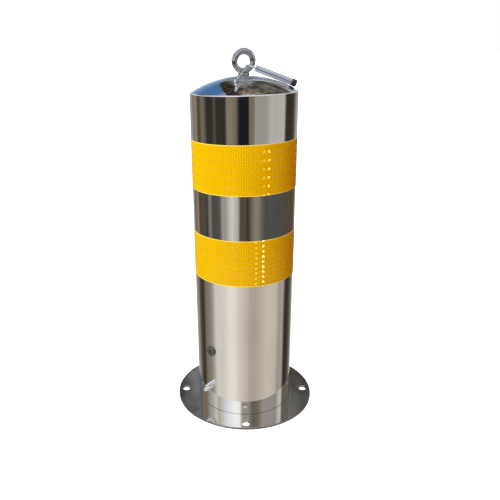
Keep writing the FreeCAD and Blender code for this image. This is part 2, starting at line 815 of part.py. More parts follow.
def lay_grip():
    """Middle of the grip's upper end and the direction down it.

    The rod leans on the front of the eye and the end cap lies on the dome.
    """
    turn = Rotation(Vector(0, 0, 1), size("eye_turn_angle").value)
    angle = math.radians(size("rod_contact_angle").value)
    centre = Vector(0, 0, (cap_top + size("eye_centre_height")).value)
    outward = turn.multVec(Vector(math.cos(angle), 0, -math.sin(angle)))
    tangent = turn.multVec(Vector(math.sin(angle), 0, math.cos(angle)))
    touched = centre + outward * size("eye_mean_radius").value
    apart = (size("eye_bar_radius") + rod_radius + size("rest_gap")).value
    direction = Vector(1, 0, 0)
    for _ in range(12):
        square = direction.cross(tangent).normalize()
        corner = touched + square * apart + direction * size("rod_to_grip").value
        direction = grip_direction(corner)
    return corner, direction


def lay_along(thing, start, direction):
    """Turn a piece made along +Z into a direction, with its lower end at a point."""
    thing.Placement = Placement(start, Rotation(Vector(0, 0, 1), direction))


def make_key_grip(corner, direction):
    """Round grip, bored at its upper end for the rod."""
    length = size("grip_length")
    depth = size("grip_bore_depth")
    bore = rod_radius + size("thread_clearance")
    bevel = size("grip_end_bevel")
    body = turned_body(
        "key_grip",
        "XZ_Plane",
        [
            (bore, NOTHING),
            (grip_radius - bevel, NOTHING),
            (grip_radius, bevel),
            (grip_radius, length),
            (NOTHING, length),
            (NOTHING, depth),
            (bore, depth),
        ],
    )
    lay_along(body, corner, direction)
    return body


def make_key_cap(corner, direction):
    """Rounded end cap pushed over the grip's lower end."""
    outer = size("grip_cap_diameter") / 2
    end = size("grip_length") + size("grip_cap_end")
    start = end - size("grip_cap_length")
    bevel = size("grip_cap_rounding")
    body = new_body("key_end_cap")
    sketch = new_sketch(body, "XZ_Plane")
    draw_outline(
        sketch,
        [
            (grip_radius, start),
            (outer, start),
            (outer, end),
            (NOTHING, end),
            (NOTHING, size("grip_length")),
            (grip_radius, size("grip_length")),
        ],
    )
    turned = add_revolution(body, sketch)
    break_edge(body, turned, "Fillet", outer, end, bevel)
    lay_along(body, corner, direction)
    return body


def rounded_path(points, radii):
    """Straight runs through points, joined by tangent arcs of the given radii."""
    edges = []
    start = points[0]
    for before, corner, after, radius in zip(points, points[1:], points[2:], radii):
        incoming = (corner - before).normalize()
        outgoing = (after - corner).normalize()
        half_turn = incoming.getAngle(outgoing) / 2
        setback = radius * math.tan(half_turn)
        arc_start = corner - incoming * setback
        arc_end = corner + outgoing * setback
        inward = (outgoing - incoming).normalize()
        middle = corner + inward * (radius / math.cos(half_turn) - radius)
        edges.append(Part.LineSegment(start, arc_start).toShape())
        edges.append(Part.Arc(arc_start, middle, arc_end).toShape())
        start = arc_end
    edges.append(Part.LineSegment(start, points[-1]).toShape())
    return Part.Wire(edges)


def make_key_rod(corner, direction):
    """Thin rod from inside the grip to a short hook whose tip touches the dome."""
    side, front = size("hook_side").value, size("hook_front").value
    bend = Vector(side, -front, cap_height(side, front, size("hook_rise").value))
    side, front = size("tip_side").value, size("tip_front").value
    contact = (rod_radius + size("rest_gap")).value
    tip = Vector(side, -front, cap_height(side, front, contact))
    inside = corner + direction * (size("grip_bore_depth") - size("seat_gap")).value
    outside = corner - direction * size("rod_corner").value
    radii = (size("rod_bend_radius").value, size("hook_bend_radius").value)
    path = rounded_path([inside, outside, bend, tip], radii)
    profile = Part.Wire(Part.makeCircle(rod_radius.value, inside, direction))
    bar = path.makePipeShell([profile], True, True)
    section = math.pi * rod_radius.value ** 2
    if abs(bar.Volume / (section * path.Length) - 1) > 0.01:
        raise RuntimeError("the rod's volume doesn't match its length")
    rounded_end = Part.makeSphere(rod_radius.value, tip, tip - bend, 0, 90, 360)
    rod = doc.addObject("Part::Feature", "key_rod")
    rod.Label = "key_rod"
    rod.Shape = bar.fuse(rounded_end).removeSplitter()
    return rod


def make_lifting_key():
    corner, direction = lay_grip()
    return [
        make_key_grip(corner, direction),
        make_key_cap(corner, direction),
        make_key_rod(corner, direction),
    ]


def build():
    parts = [
        make_base_flange(),
        make_base_sleeve(),
        make_foot_ring(),
        make_keeper_ring(),
        make_post_tube(),
        make_dome_cap(),
        make_band("lower_band", size("lower_band_height")),
        make_band("upper_band", size("upper_band_height")),
        make_lifting_eye(),
    ]
    parts += make_eye_fasteners()
    parts += [
        make_lock_body(),
        make_lock_gasket(),
        make_lock_nut(),
        make_lock_core(),
        make_lock_cam(),
        make_cam_screw(),
        make_chain_staple(),
    ]
    parts += make_lifting_key()
    return parts


def check(parts):
    """Stop if anything in the document failed or a piece isn't one valid solid."""
    for thing in doc.Objects:
        if "Invalid" in thing.State or "Error" in thing.State:
            raise RuntimeError("%s failed: %s" % (thing.Label, thing.State))
    for part in parts:
        if part.Shape.isNull() or not part.Shape.isValid():
            raise RuntimeError("%s has no valid shape" % part.Label)
        if len(part.Shape.Solids) != 1:
            raise RuntimeError("%s is not one solid" % part.Label)


def export(parts):
    os.makedirs("parts", exist_ok=True)
    for part in parts:
        part.Shape.exportStep(os.path.join("parts", part.Label + ".step"))


parts = build()
doc.recompute()
check(parts)
export(parts)
for part in parts:
    print("%s: %.1f cubic cm" % (part.Label, part.Shape.Volume / 1000))
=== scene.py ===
"""Looks of a removable crash-protection bollard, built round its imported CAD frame.

Lengths are in metres and angles in degrees. +Z is up, -Y is the front and +X is
to the right seen from the front, as in the frame.
"""

import logging
import math
from dataclasses import dataclass
from enum import Enum

import bpy
from mathutils import Matrix, Vector

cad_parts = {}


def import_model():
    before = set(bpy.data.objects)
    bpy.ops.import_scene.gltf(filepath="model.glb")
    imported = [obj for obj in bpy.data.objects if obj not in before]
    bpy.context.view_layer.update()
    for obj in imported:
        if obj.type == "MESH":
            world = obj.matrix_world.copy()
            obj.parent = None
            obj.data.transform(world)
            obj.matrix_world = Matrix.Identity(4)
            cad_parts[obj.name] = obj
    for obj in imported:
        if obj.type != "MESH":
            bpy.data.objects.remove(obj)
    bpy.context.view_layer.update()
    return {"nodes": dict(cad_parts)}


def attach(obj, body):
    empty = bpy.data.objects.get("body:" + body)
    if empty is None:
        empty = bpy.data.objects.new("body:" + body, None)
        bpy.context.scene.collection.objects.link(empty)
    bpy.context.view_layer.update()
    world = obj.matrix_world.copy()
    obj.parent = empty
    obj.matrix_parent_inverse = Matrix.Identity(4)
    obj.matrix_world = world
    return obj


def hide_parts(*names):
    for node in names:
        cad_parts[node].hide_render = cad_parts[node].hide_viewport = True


LOG = logging.getLogger("bollard")

Span = tuple[float, float]
Outline = list[Span]
Triple = tuple[float, float, float]
Place = Triple
Colour = Triple
Piece = bpy.types.Object
Node = bpy.types.Node
Socket = bpy.types.NodeSocket
Feed = float | Colour | Socket

SMOOTH_ANGLE = math.radians(32)
MERGE_DISTANCE = 1e-6
AROUND_POST = 288
AROUND_SLEEVE = 192
AROUND_SMALL = 96
AROUND_HOLE = 64
UP = Vector((0, 0, 1))
WHITE = (1.0, 1.0, 1.0)


# Tools for modelling


class Ends(Enum):
    """How a turned piece is closed."""

    LOOP = "the outline comes back to its start"
    DISCS = "a flat disc closes each end"


class Bench:
    """Modelling moves that the pieces share."""

    @staticmethod
    def clear() -> None:
        """Deselect every object."""
        bpy.ops.object.select_all(action="DESELECT")

    @staticmethod
    def pick(piece: Piece) -> None:
        """Make one object the only selected one, and active.

        Args:
            piece: The object.
        """
        Bench.clear()
        piece.select_set(True)
        bpy.context.view_layer.objects.active = piece

    @staticmethod
    def put(name: str, data: bpy.types.ID) -> Piece:
        """Stand a curve, a lamp or a camera in the scene.

        Args:
            name: Its object's name.
            data: The curve, lamp or camera.

        Returns:
            Its object.
        """
        made = bpy.data.objects.new(name, data)
        bpy.context.scene.collection.objects.link(made)
        return made

    @staticmethod
    def settle() -> None:
        """Put the place of the selected piece into its mesh."""
        bpy.ops.object.transform_apply(location=True, rotation=True, scale=True)

    @staticmethod
    def weld() -> None:
        """Merge the points of the edited mesh that lie on each other."""
        bpy.ops.mesh.select_all(action="SELECT")
        bpy.ops.mesh.remove_doubles(threshold=MERGE_DISTANCE)

    @staticmethod
    def leave_edit() -> None:
        """Point all faces outwards and leave edit mode."""
        bpy.ops.mesh.select_all(action="SELECT")
        bpy.ops.mesh.normals_make_consistent(inside=False)
        bpy.ops.object.mode_set(mode="OBJECT")

    @staticmethod
    def turned(outline: Outline, around: int, ends: Ends) -> Piece:
        """Turn an outline about the Z axis by extruding a ring along it.

        Args:
            outline: Radius and height of each point.
            around: Points round the ring.
            ends: How the piece is closed.

        Returns:
            The turned piece, standing on its own axis.
        """
        Bench.clear()
        radius, height = outline[0]
        bpy.ops.mesh.primitive_circle_add(vertices=around, radius=radius, location=(0, 0, height))
        piece = bpy.context.object
        Bench.settle()
        points = outline[1:] + ([outline[0]] if ends is Ends.LOOP else [])
        bpy.ops.object.mode_set(mode="EDIT")
        bpy.ops.mesh.select_all(action="SELECT")
        for next_radius, next_height in points:
            rise = (0, 0, next_height - height)
            bpy.ops.mesh.extrude_region_move(TRANSFORM_OT_translate={"value": rise})
            if next_radius != radius:
                scale = next_radius / radius
                middle = (0, 0, next_height)
                bpy.ops.transform.resize(value=(scale, scale, 1), center_override=middle)
            radius, height = next_radius, next_height
        Bench.weld()
        if ends is Ends.DISCS:
            bpy.ops.mesh.select_all(action="SELECT")
            bpy.ops.mesh.fill_holes(sides=0)
        Bench.leave_edit()
        return piece

    @staticmethod
    def round_tube(points: list[Vector], radii: list[float], segments: int) -> Piece:
        """Make a round bar along a line of points.

        Args:
            points: Middle line of the bar.
            radii: Radius of the bar at each point.
            segments: Quarter-circle resolution of the bar's section.

        Returns:
            The bar as a mesh, closed at both ends.
        """
        curve = bpy.data.curves.new("bar", "CURVE")
        curve.dimensions = "3D"
        spline = curve.splines.new("POLY")
        spline.points.add(len(points) - 1)
        for knot, point, radius in zip(spline.points, points, radii):
            knot.co = (*point, 1)
            knot.radius = radius
        curve.bevel_depth = 1
        curve.bevel_resolution = segments
        curve.use_fill_caps = True
        Bench.pick(Bench.put("bar", curve))
        bpy.ops.object.convert(target="MESH")
        bar = bpy.context.object
        bpy.ops.object.mode_set(mode="EDIT")
        Bench.weld()
        Bench.leave_edit()
        return bar

    @staticmethod
    def block(size: Triple, centre: Vector, turn: float) -> Piece:
        """Make a box that cuts into another piece.

        Args:
            size: Its length along X, Y and Z.
            centre: Its middle.
            turn: Its turn about Z.

        Returns:
            The box.
        """
        Bench.clear()
        place = tuple(centre)
        bpy.ops.mesh.primitive_cube_add(size=1, location=place, rotation=(0, 0, math.radians(turn)))
        box = bpy.context.object
        box.scale = size
        Bench.settle()
        return box

    @staticmethod
    def modify(piece: Piece, kind: str, **settings: object) -> None:
        """Give a piece a modifier and apply it.

        Args:
            piece: The piece.
            kind: The modifier's type.
            settings: Its own options.
        """
        Bench.pick(piece)
        step = piece.modifiers.new(kind.lower(), kind)
        for name, value in settings.items():
            setattr(step, name, value)
        bpy.ops.object.modifier_apply(modifier=step.name)

    @staticmethod
    def combine(piece: Piece, tool: Piece, operation: str) -> None:
        """Cut a tool out of a piece, or add it, and delete the tool.

        Args:
            piece: What stays.
            tool: What is taken away or added.
            operation: DIFFERENCE or UNION.
        """
        Bench.modify(piece, "BOOLEAN", operation=operation, solver="EXACT", object=tool)
        bpy.data.objects.remove(tool)

    @staticmethod
    def place(piece: Piece, matrix: Matrix) -> None:
        """Move a piece and put its place into its mesh.

        Args:
            piece: The piece.
            matrix: Where it goes.
        """
        Bench.pick(piece)
        piece.matrix_world = matrix
        Bench.settle()

    @staticmethod
    def smooth(piece: Piece) -> None:
        """Shade a piece smoothly between its edges, with its large faces kept flat.

        Args:
            piece: The piece.
        """
        Bench.pick(piece)
        bpy.ops.object.shade_smooth_by_angle(angle=SMOOTH_ANGLE)
        Bench.modify(piece, "WEIGHTED_NORMAL", keep_sharp=True)


def arc(centre: Span, radius: float, start: float, end: float, steps: int) -> Outline:
    """Points along part of a circle.

    Args:
        centre: Its middle, as radius and height of the outline.
        radius: Its radius.
        start: Angle of the first point, up from the outline's radius axis.
        end: Angle of the last point.
        steps: Runs between the points.

    Returns:
        The points, both ends included.
    """
    angles = [math.radians(start + (end - start) * number / steps) for number in range(steps + 1)]
    return [(centre[0] + radius * math.cos(a), centre[1] + radius * math.sin(a)) for a in angles]


def outward(bearing: float) -> Vector:
    """Level direction away from the post's axis, a bearing round from the front to the left."""
    turn = math.radians(bearing)
    return Vector((-math.sin(turn), -math.cos(turn), 0))


def along(direction: Vector, origin: Vector, upright: Vector) -> Matrix:
    """Place that turns a piece's own Z axis into a direction.

    Args:
        direction: Where its Z axis goes.
        origin: Where its origin goes.
        upright: What its Y axis leans towards.

    Returns:
        The place as a matrix.
    """
    z_axis = direction.normalized()
    x_axis = upright.cross(z_axis).normalized()
    y_axis = z_axis.cross(x_axis)
    turn = Matrix((x_axis, y_axis, z_axis)).transposed().to_4x4()
    return Matrix.Translation(origin) @ turn


# Tools for materials


def linear(red: float, green: float, blue: float) -> Colour:
    """Linear colour of a screen colour.

    Args:
        red: Its red part, from 0 to 255.
        green: Its green part.
        blue: Its blue part.

    Returns:
        The linear colour, each part from 0 to 1.
    """

    def part(value: float) -> float:
        """One part of the colour."""
        share = value / 255
        return share / 12.92 if share <= 0.04045 else ((share + 0.055) / 1.055) ** 2.4

    return part(red), part(green), part(blue)


class NodeBoard:
    """Adds and joins the nodes of one material or of the world."""

    def __init__(self, tree: bpy.types.NodeTree) -> None:
        """Start with an empty board."""
        self.tree = tree
        tree.nodes.clear()

    def plug(self, socket: Socket, feed: Feed) -> None:
        """Join a socket to another one, or set its value.

        Args:
            socket: What is fed.
            feed: A socket, a number or a colour.
        """
        if isinstance(feed, Socket):
            self.tree.links.new(feed, socket)
        elif isinstance(feed, tuple) and len(socket.default_value) == 4:
            socket.default_value = (*feed, 1)
        else:
            socket.default_value = feed

    def fill(self, node: Node, feeds: dict[str | int, Feed]) -> None:
        """Feed several sockets of a node."""
        for name, feed in feeds.items():
            self.plug(node.inputs[name], feed)

    def add(self, kind: str, feeds: dict[str | int, Feed] | None = None, **settings: object) -> Node:
        """Add a node.

        Args:
            kind: Its type, without the prefix.
            feeds: What goes into its sockets.
            settings: Its own options.

        Returns:
            The node.
        """
        node = self.tree.nodes.new("ShaderNode" + kind)
        for name, value in settings.items():
            setattr(node, name, value)
        self.fill(node, feeds or {})
        return node

    def math(self, operation: str, first: Feed, second: Feed = 0.0, third: Feed = 0.0) -> Socket:
        """Result of a sum with up to three numbers."""
        node = self.add("Math", {0: first, 1: second, 2: third}, operation=operation)
        return node.outputs[0]

    def distance(self, across: Feed, up: Feed) -> Socket:
        """Straight length of a way that goes so far across and so far up."""
        squares = self.math("MULTIPLY_ADD", across, across, self.math("MULTIPLY", up, up))
        return self.math("SQRT", squares)

    def fit(
        self, value: Feed, low: float, high: float, to_low: float = 0.0, to_high: float = 1.0
    ) -> Socket:
        """A number moved from one range to another, with soft ends that it can't pass."""
        feeds = {"Value": value, "From Min": low, "From Max": high, "To Min": to_low, "To Max": to_high}
        return self.add("MapRange", feeds, interpolation_type="SMOOTHSTEP").outputs[0]

    def fall(self, value: Feed, low: float, high: float) -> Socket:
        """1 where a number is below a range, 0 where it is above it."""
        return self.fit(value, low, high, 1.0, 0.0)

    def share(self, value: Feed, low: float, high: float) -> Socket:
        """How far a number has come from one end of a range to the other, from 0 to 1."""
        return self.add("MapRange", {"Value": value, "From Min": low, "From Max": high}).outputs[0]

    def mix(self, factor: Feed, first: Feed, second: Feed, blend: str = "MIX") -> Socket:
        """A colour between two colours."""
        node = self.add("Mix", {0: factor, 6: first, 7: second}, data_type="RGBA", blend_type=blend)
        return node.outputs[2]

    def ramp(self, value: Feed, stops: list[tuple[float, Colour]]) -> Socket:
        """Colour read off a row of colours.

        Args:
            value: Where to read, from 0 to 1.
            stops: Place and colour of each stop.

        Returns:
            The colour.
        """
        node = self.add("ValToRGB", {0: value})
        elements = node.color_ramp.elements
        for number, (position, colour) in enumerate(stops):
            element = elements[number] if number < 2 else elements.new(position)
            element.position = position
            element.color = (*colour, 1)
        return node.outputs[0]

    def noise(self, place: Feed, scale: float, detail: float = 2.0, roughness: float = 0.5) -> Socket:
        """Cloudy pattern with values round one half."""
        feeds = {"Vector": place, "Scale": scale, "Detail": detail, "Roughness": roughness}
        return self.add("TexNoise", feeds).outputs[0]

    def grey(self, value: Feed) -> Socket:
        """A colour with three equal parts."""
        return self.add("CombineColor", {0: value, 1: value, 2: value}).outputs[0]

    def object_place(self, stretch: Triple = (1.0, 1.0, 1.0)) -> Socket:
        """Place on the piece in its own frame, stretched along each axis."""
        coordinates = self.add("TexCoord").outputs["Object"]
        return self.add("Mapping", {"Vector": coordinates, "Scale": stretch}).outputs[0]

    def bump(self, height: Feed, distance: float) -> Socket:
        """Surface direction bent by a height."""
        return self.add("Bump", {"Height": height, "Distance": distance}).outputs[0]


@dataclass(frozen=True)
class Clouds:
    """A cloudy pattern that a finish wears."""

    scale: float
    detail: float = 2.0
    roughness: float = 0.5
    stretch: Triple = (1.0, 1.0, 1.0)

    def on(self, board: NodeBoard) -> Socket:
        """The pattern over the piece, with values round one half."""
        place = board.object_place(self.stretch)
        return board.noise(place, self.scale, self.detail, self.roughness)


class Finish:
    """A surface finish that makes its material once, with its slot in the record."""

    _made: dict["Finish", bpy.types.Material] = {}
    slot: str
    metallic: float = 0.0

    def build(self, board: NodeBoard, shader: Node) -> None:
        """Lay out the finish's nodes and join them to the shader.

        Args:
            board: Where the nodes go.
            shader: The surface that they make.
        """
        raise NotImplementedError

    def material(self) -> bpy.types.Material:
        """Make the finish's material when it is first asked for.

        Returns:
            The material.
        """
        if self not in Finish._made:
            made = bpy.data.materials.new(self.slot)
            made.use_nodes = True
            board = NodeBoard(made.node_tree)
            shader = board.add("BsdfPrincipled", {"Metallic": self.metallic})
            out = board.add("OutputMaterial")
            self.build(board, shader)
            board.plug(out.inputs["Surface"], shader.outputs[0])
            Finish._made[self] = made
        return Finish._made[self]

    def dress(self, piece: Piece) -> None:
        """Put the finish on a piece."""
        piece.data.materials.clear()
        piece.data.materials.append(self.material())


@dataclass(frozen=True)
class PolishedSteel(Finish):
    """Stainless steel buffed to a mirror, with faint waves, wipe marks and a duller cut edge."""

    base: Colour = (0.90, 0.895, 0.885)
    duller: Colour = (0.83, 0.825, 0.815)
    # Near-black tone of the painted shade in the seam at the tube's foot, on tube and plate.
    seam_shade_tone: Colour = (0.050, 0.046, 0.042)
    cut_tone: Colour = (0.30, 0.29, 0.28)
    plate_radius: float = 0.160
    hole_circle: float = 0.1425
    hole_radius: float = 0.009
    wall_share: float = 0.7
    tube_radius: float = 0.1095
    tube_foot: float = 0.005
    rim_edge: Span = (0.0008, 0.0004)
    wall_edge: Span = (0.0001, 0.0004)
    seam_width: Span = (0.0003, 0.0010)
    seam_height: Span = (0.0004, 0.0010)
    wipes: Clouds = Clouds(16, 5, 0.6, (1, 1, 0.45))
    lines: Clouds = Clouds(1, 2, 0.5, (40, 40, 900))
    waves: Clouds = Clouds(11, 1, 0.4, (1, 1, 0.16))
    patches: Clouds = Clouds(9, 2)
    wipe_change: Span = (0.42, 0.75)
    dulling_change: Span = (0.45, 0.8)
    patch_change: Span = (0.38, 0.6)
    patch_share: Span = (0.35, 1.0)
    line_gloss: Span = (0.016, 0.012)
    wipe_gloss: float = 0.05
    seam_gloss: float = 0.4
    cut_gloss: float = 0.3
    wave_height: float = 0.00035
    slot = "polished_steel"
    metallic = 1.0

    def seam(self, board: NodeBoard, radius: Feed, height: Feed) -> Socket:
        """Find the seam where the tube stands on the plate, which is darkened with painted shade.

        Args:
            board: Where the nodes go.
            radius: Distance from the post's axis.
            height: Height above the ground.

        Returns:
            1 in the seam, 0 elsewhere.
        """
        off = board.math("SUBTRACT", radius, self.tube_radius)
        near = board.fall(board.math("ABSOLUTE", off), *self.seam_width)
        low = board.fall(board.math("SUBTRACT", height, self.tube_foot), *self.seam_height)
        return board.math("MULTIPLY", near, low)

    def cut_edges(self, board: NodeBoard, radius: Feed, place: list[Socket]) -> Socket:
        """Find the plate's rim and the walls of its four holes.

        Args:
            board: Where the nodes go.
            radius: Distance from the post's axis.
            place: The three parts of the place.

        Returns:
            1 on the rim, less on the walls, 0 elsewhere.
        """
        outer, inner = self.rim_edge
        rim = board.fit(radius, self.plate_radius - outer, self.plate_radius - inner)
        nearest: Feed = 1.0
        for along_axis, across_axis in ((0, 1), (1, 0)):
            off = board.math("SUBTRACT", board.math("ABSOLUTE", place[along_axis]), self.hole_circle)
            nearest = board.math("MINIMUM", nearest, board.distance(off, place[across_axis]))
        walls = board.fall(nearest, *(self.hole_radius + edge for edge in self.wall_edge))
        return board.math("MAXIMUM", rim, board.math("MULTIPLY", walls, self.wall_share))

    def build(self, board: NodeBoard, shader: Node) -> None:
        """Mirror with low waves in its surface and cloudy wipe marks in its gloss.

        Args:
            board: Where the nodes go.
            shader: The surface that they make.
        """
        wipes = self.wipes.on(board)
        colour = board.mix(board.fit(wipes, *self.wipe_change), self.base, self.duller)
        gloss = board.math("MULTIPLY_ADD", self.lines.on(board), *self.line_gloss)
        dulling = board.fit(wipes, *self.dulling_change)
        gloss = board.math("MULTIPLY_ADD", dulling, self.wipe_gloss, gloss)
        place = board.add("SeparateXYZ", {0: board.object_place()}).outputs
        radius = board.distance(place[0], place[1])
        patches = board.fit(self.patches.on(board), *self.patch_change, *self.patch_share)
        # Painted shade along the seam at the tube's foot, broken into patches.
        painted_seam_shade = board.math("MULTIPLY", self.seam(board, radius, place[2]), patches)
        cut = self.cut_edges(board, radius, place)
        changes = ((painted_seam_shade, self.seam_shade_tone, self.seam_gloss), (cut, self.cut_tone, self.cut_gloss))
        for mask, tone, rougher in changes:
            colour = board.mix(mask, colour, tone)
            gloss = board.math("MULTIPLY_ADD", mask, rougher, gloss)
        normal = board.bump(self.waves.on(board), self.wave_height)
        board.fill(shader, {"Base Color": colour, "Roughness": gloss, "Normal": normal})


@dataclass(frozen=True)
class ForgedSteel(Finish):
    """Polished forging, a little uneven, with fine pits."""

    base: Colour = (0.46, 0.47, 0.50)
    duller: Colour = (0.38, 0.39, 0.41)
    lumps: Clouds = Clouds(60, 2)
    pits: Clouds = Clouds(900, 2)
    pit_change: Span = (0.3, 0.42)
    pit_depth: float = 0.12
    gloss: Span = (0.08, 0.05)
    relief: float = 0.00005
    slot = "forged_steel"
    metallic = 1.0

    def build(self, board: NodeBoard, shader: Node) -> None:
        """Metal with soft lumps and fine pits.

        Args:
            board: Where the nodes go.
            shader: The surface that they make.
        """
        lumps, pits = self.lumps.on(board), self.pits.on(board)
        pitted = board.fit(pits, *self.pit_change)
        height = board.math("MULTIPLY_ADD", pitted, self.pit_depth, lumps)
        board.fill(shader, {
            "Base Color": board.mix(lumps, self.base, self.duller),
            "Roughness": board.math("MULTIPLY_ADD", pits, *self.gloss),
            "Normal": board.bump(height, self.relief),
        })


@dataclass(frozen=True)
class PlatedSteel(Finish):
    """Zinc-plated hardware with a mottled, slightly warm sheen."""

    base: Colour = (0.62, 0.61, 0.57)
    cooler: Colour = (0.46, 0.46, 0.47)
    mottle_scale: float = 420.0
    grain: Clouds = Clouds(300, 3)
    gloss: Span = (0.2, 0.24)
    relief: float = 0.00005
    slot = "plated_steel"
    metallic = 1.0

    def build(self, board: NodeBoard, shader: Node) -> None:
        """Mottled plating.

        Args:
            board: Where the nodes go.
            shader: The surface that they make.
        """
        feeds = {"Vector": board.object_place(), "Scale": self.mottle_scale}
        mottle = board.add("TexVoronoi", feeds).outputs[0]
        grain = self.grain.on(board)
        tone = board.math("MULTIPLY_ADD", mottle, 0.5, board.math("MULTIPLY", grain, 0.5))
        board.fill(shader, {
            "Base Color": board.mix(tone, self.base, self.cooler),
            "Roughness": board.math("MULTIPLY_ADD", grain, *self.gloss),
            "Normal": board.bump(grain, self.relief),
        })


@dataclass(frozen=True)
class CloudedFinish(Finish):
    """A finish that goes from its own colour to a worn one in clouds, which also dull it."""

    base: Colour
    worn: Colour
    clouds: Clouds
    change: Span | None
    gloss: Span
    grain: Clouds | None
    relief: float

    def build(self, board: NodeBoard, shader: Node) -> None:
        """Clouds in the colour and the gloss, and a grain in the surface.

        Args:
            board: Where the nodes go.
            shader: The surface that they make.
        """
        clouds = self.clouds.on(board)
        factor = board.fit(clouds, *self.change) if self.change else clouds
        gloss = board.math("MULTIPLY_ADD", clouds, *self.gloss)
        board.fill(shader, {"Base Color": board.mix(factor, self.base, self.worn), "Roughness": gloss})
        if self.grain:
            board.plug(shader.inputs["Normal"], board.bump(self.grain.on(board), self.relief))


@dataclass(frozen=True)
class PlainSteel(CloudedFinish):
    """Mill-finished steel with fine lines round the piece and slight stains."""

    base: Colour = (0.52, 0.515, 0.505)
    worn: Colour = (0.36, 0.345, 0.325)
    clouds: Clouds = Clouds(22, 6, 0.65)
    change: Span = (0.4, 0.7)
    gloss: Span = (0.3, 0.22)
    grain: Clouds = Clouds(1, 3, 0.5, (30, 30, 700))
    relief: float = 0.00006
    slot = "plain_steel"
    metallic = 1.0


@dataclass(frozen=True)
class LockMetal(CloudedFinish):
    """Dark nickel of the lock's body, satin, worn bright in places."""

    base: Colour = (0.20, 0.215, 0.245)
    worn: Colour = (0.46, 0.48, 0.52)
    clouds: Clouds = Clouds(240, 4, 0.6)
    change: Span = (0.4, 0.66)
    gloss: Span = (0.22, 0.16)
    grain: Clouds = Clouds(240, 4, 0.6)
    relief: float = 0.00004
    slot = "lock_metal"
    metallic = 1.0


@dataclass(frozen=True)
class CoreBrass(CloudedFinish):
    """Dull turned brass of the lock's core, with tarnish and fine scratches."""

    base: Colour = (0.46, 0.42, 0.33)
    worn: Colour = (0.22, 0.20, 0.16)
    clouds: Clouds = Clouds(260, 5, 0.6)
    change: Span = (0.38, 0.68)
    gloss: Span = (0.25, 0.2)
    grain: Clouds = Clouds(1, 2, 0.5, (900, 900, 60))
    relief: float = 0.00003
    slot = "core_brass"
    metallic = 1.0


@dataclass(frozen=True)
class KeySteel(CloudedFinish):
    """Drawn steel of the lifting key, with cloudy scuffs from handling."""

    # These bright default tones are the lit copy, worn by the rod: painted highlight.
    base: Colour = (0.92, 0.94, 0.98)
    worn: Colour = (0.74, 0.75, 0.77)
    clouds: Clouds = Clouds(130, 5, 0.6)
    change: Span = (0.45, 0.7)
    gloss: Span = (0.14, 0.04)
    grain: None = None
    relief: float = 0.0
    slot = "key_steel"
    metallic = 1.0


@dataclass(frozen=True)
class DarkPlastic(CloudedFinish):
    """Moulded dark end cap, slightly glossy, dusty, with a fine spark texture."""

    base: Colour = (0.012, 0.016, 0.030)
    worn: Colour = (0.045, 0.052, 0.075)
    clouds: Clouds = Clouds(90, 4)
    change: Span = (0.45, 0.75)
    gloss: Span = (0.2, 0.2)
    grain: Clouds = Clouds(1500, 2)
    relief: float = 0.00004
    slot = "dark_plastic"


@dataclass(frozen=True)
class RubberSeal(CloudedFinish):
    """Matt black rubber with bloom."""

    base: Colour = (0.018, 0.018, 0.018)
    worn: Colour = (0.05, 0.05, 0.048)
    clouds: Clouds = Clouds(350, 4)
    change: None = None
    gloss: Span = (0.2, 0.6)
    grain: Clouds = Clouds(350, 4)
    relief: float = 0.00006
    slot = "rubber_seal"


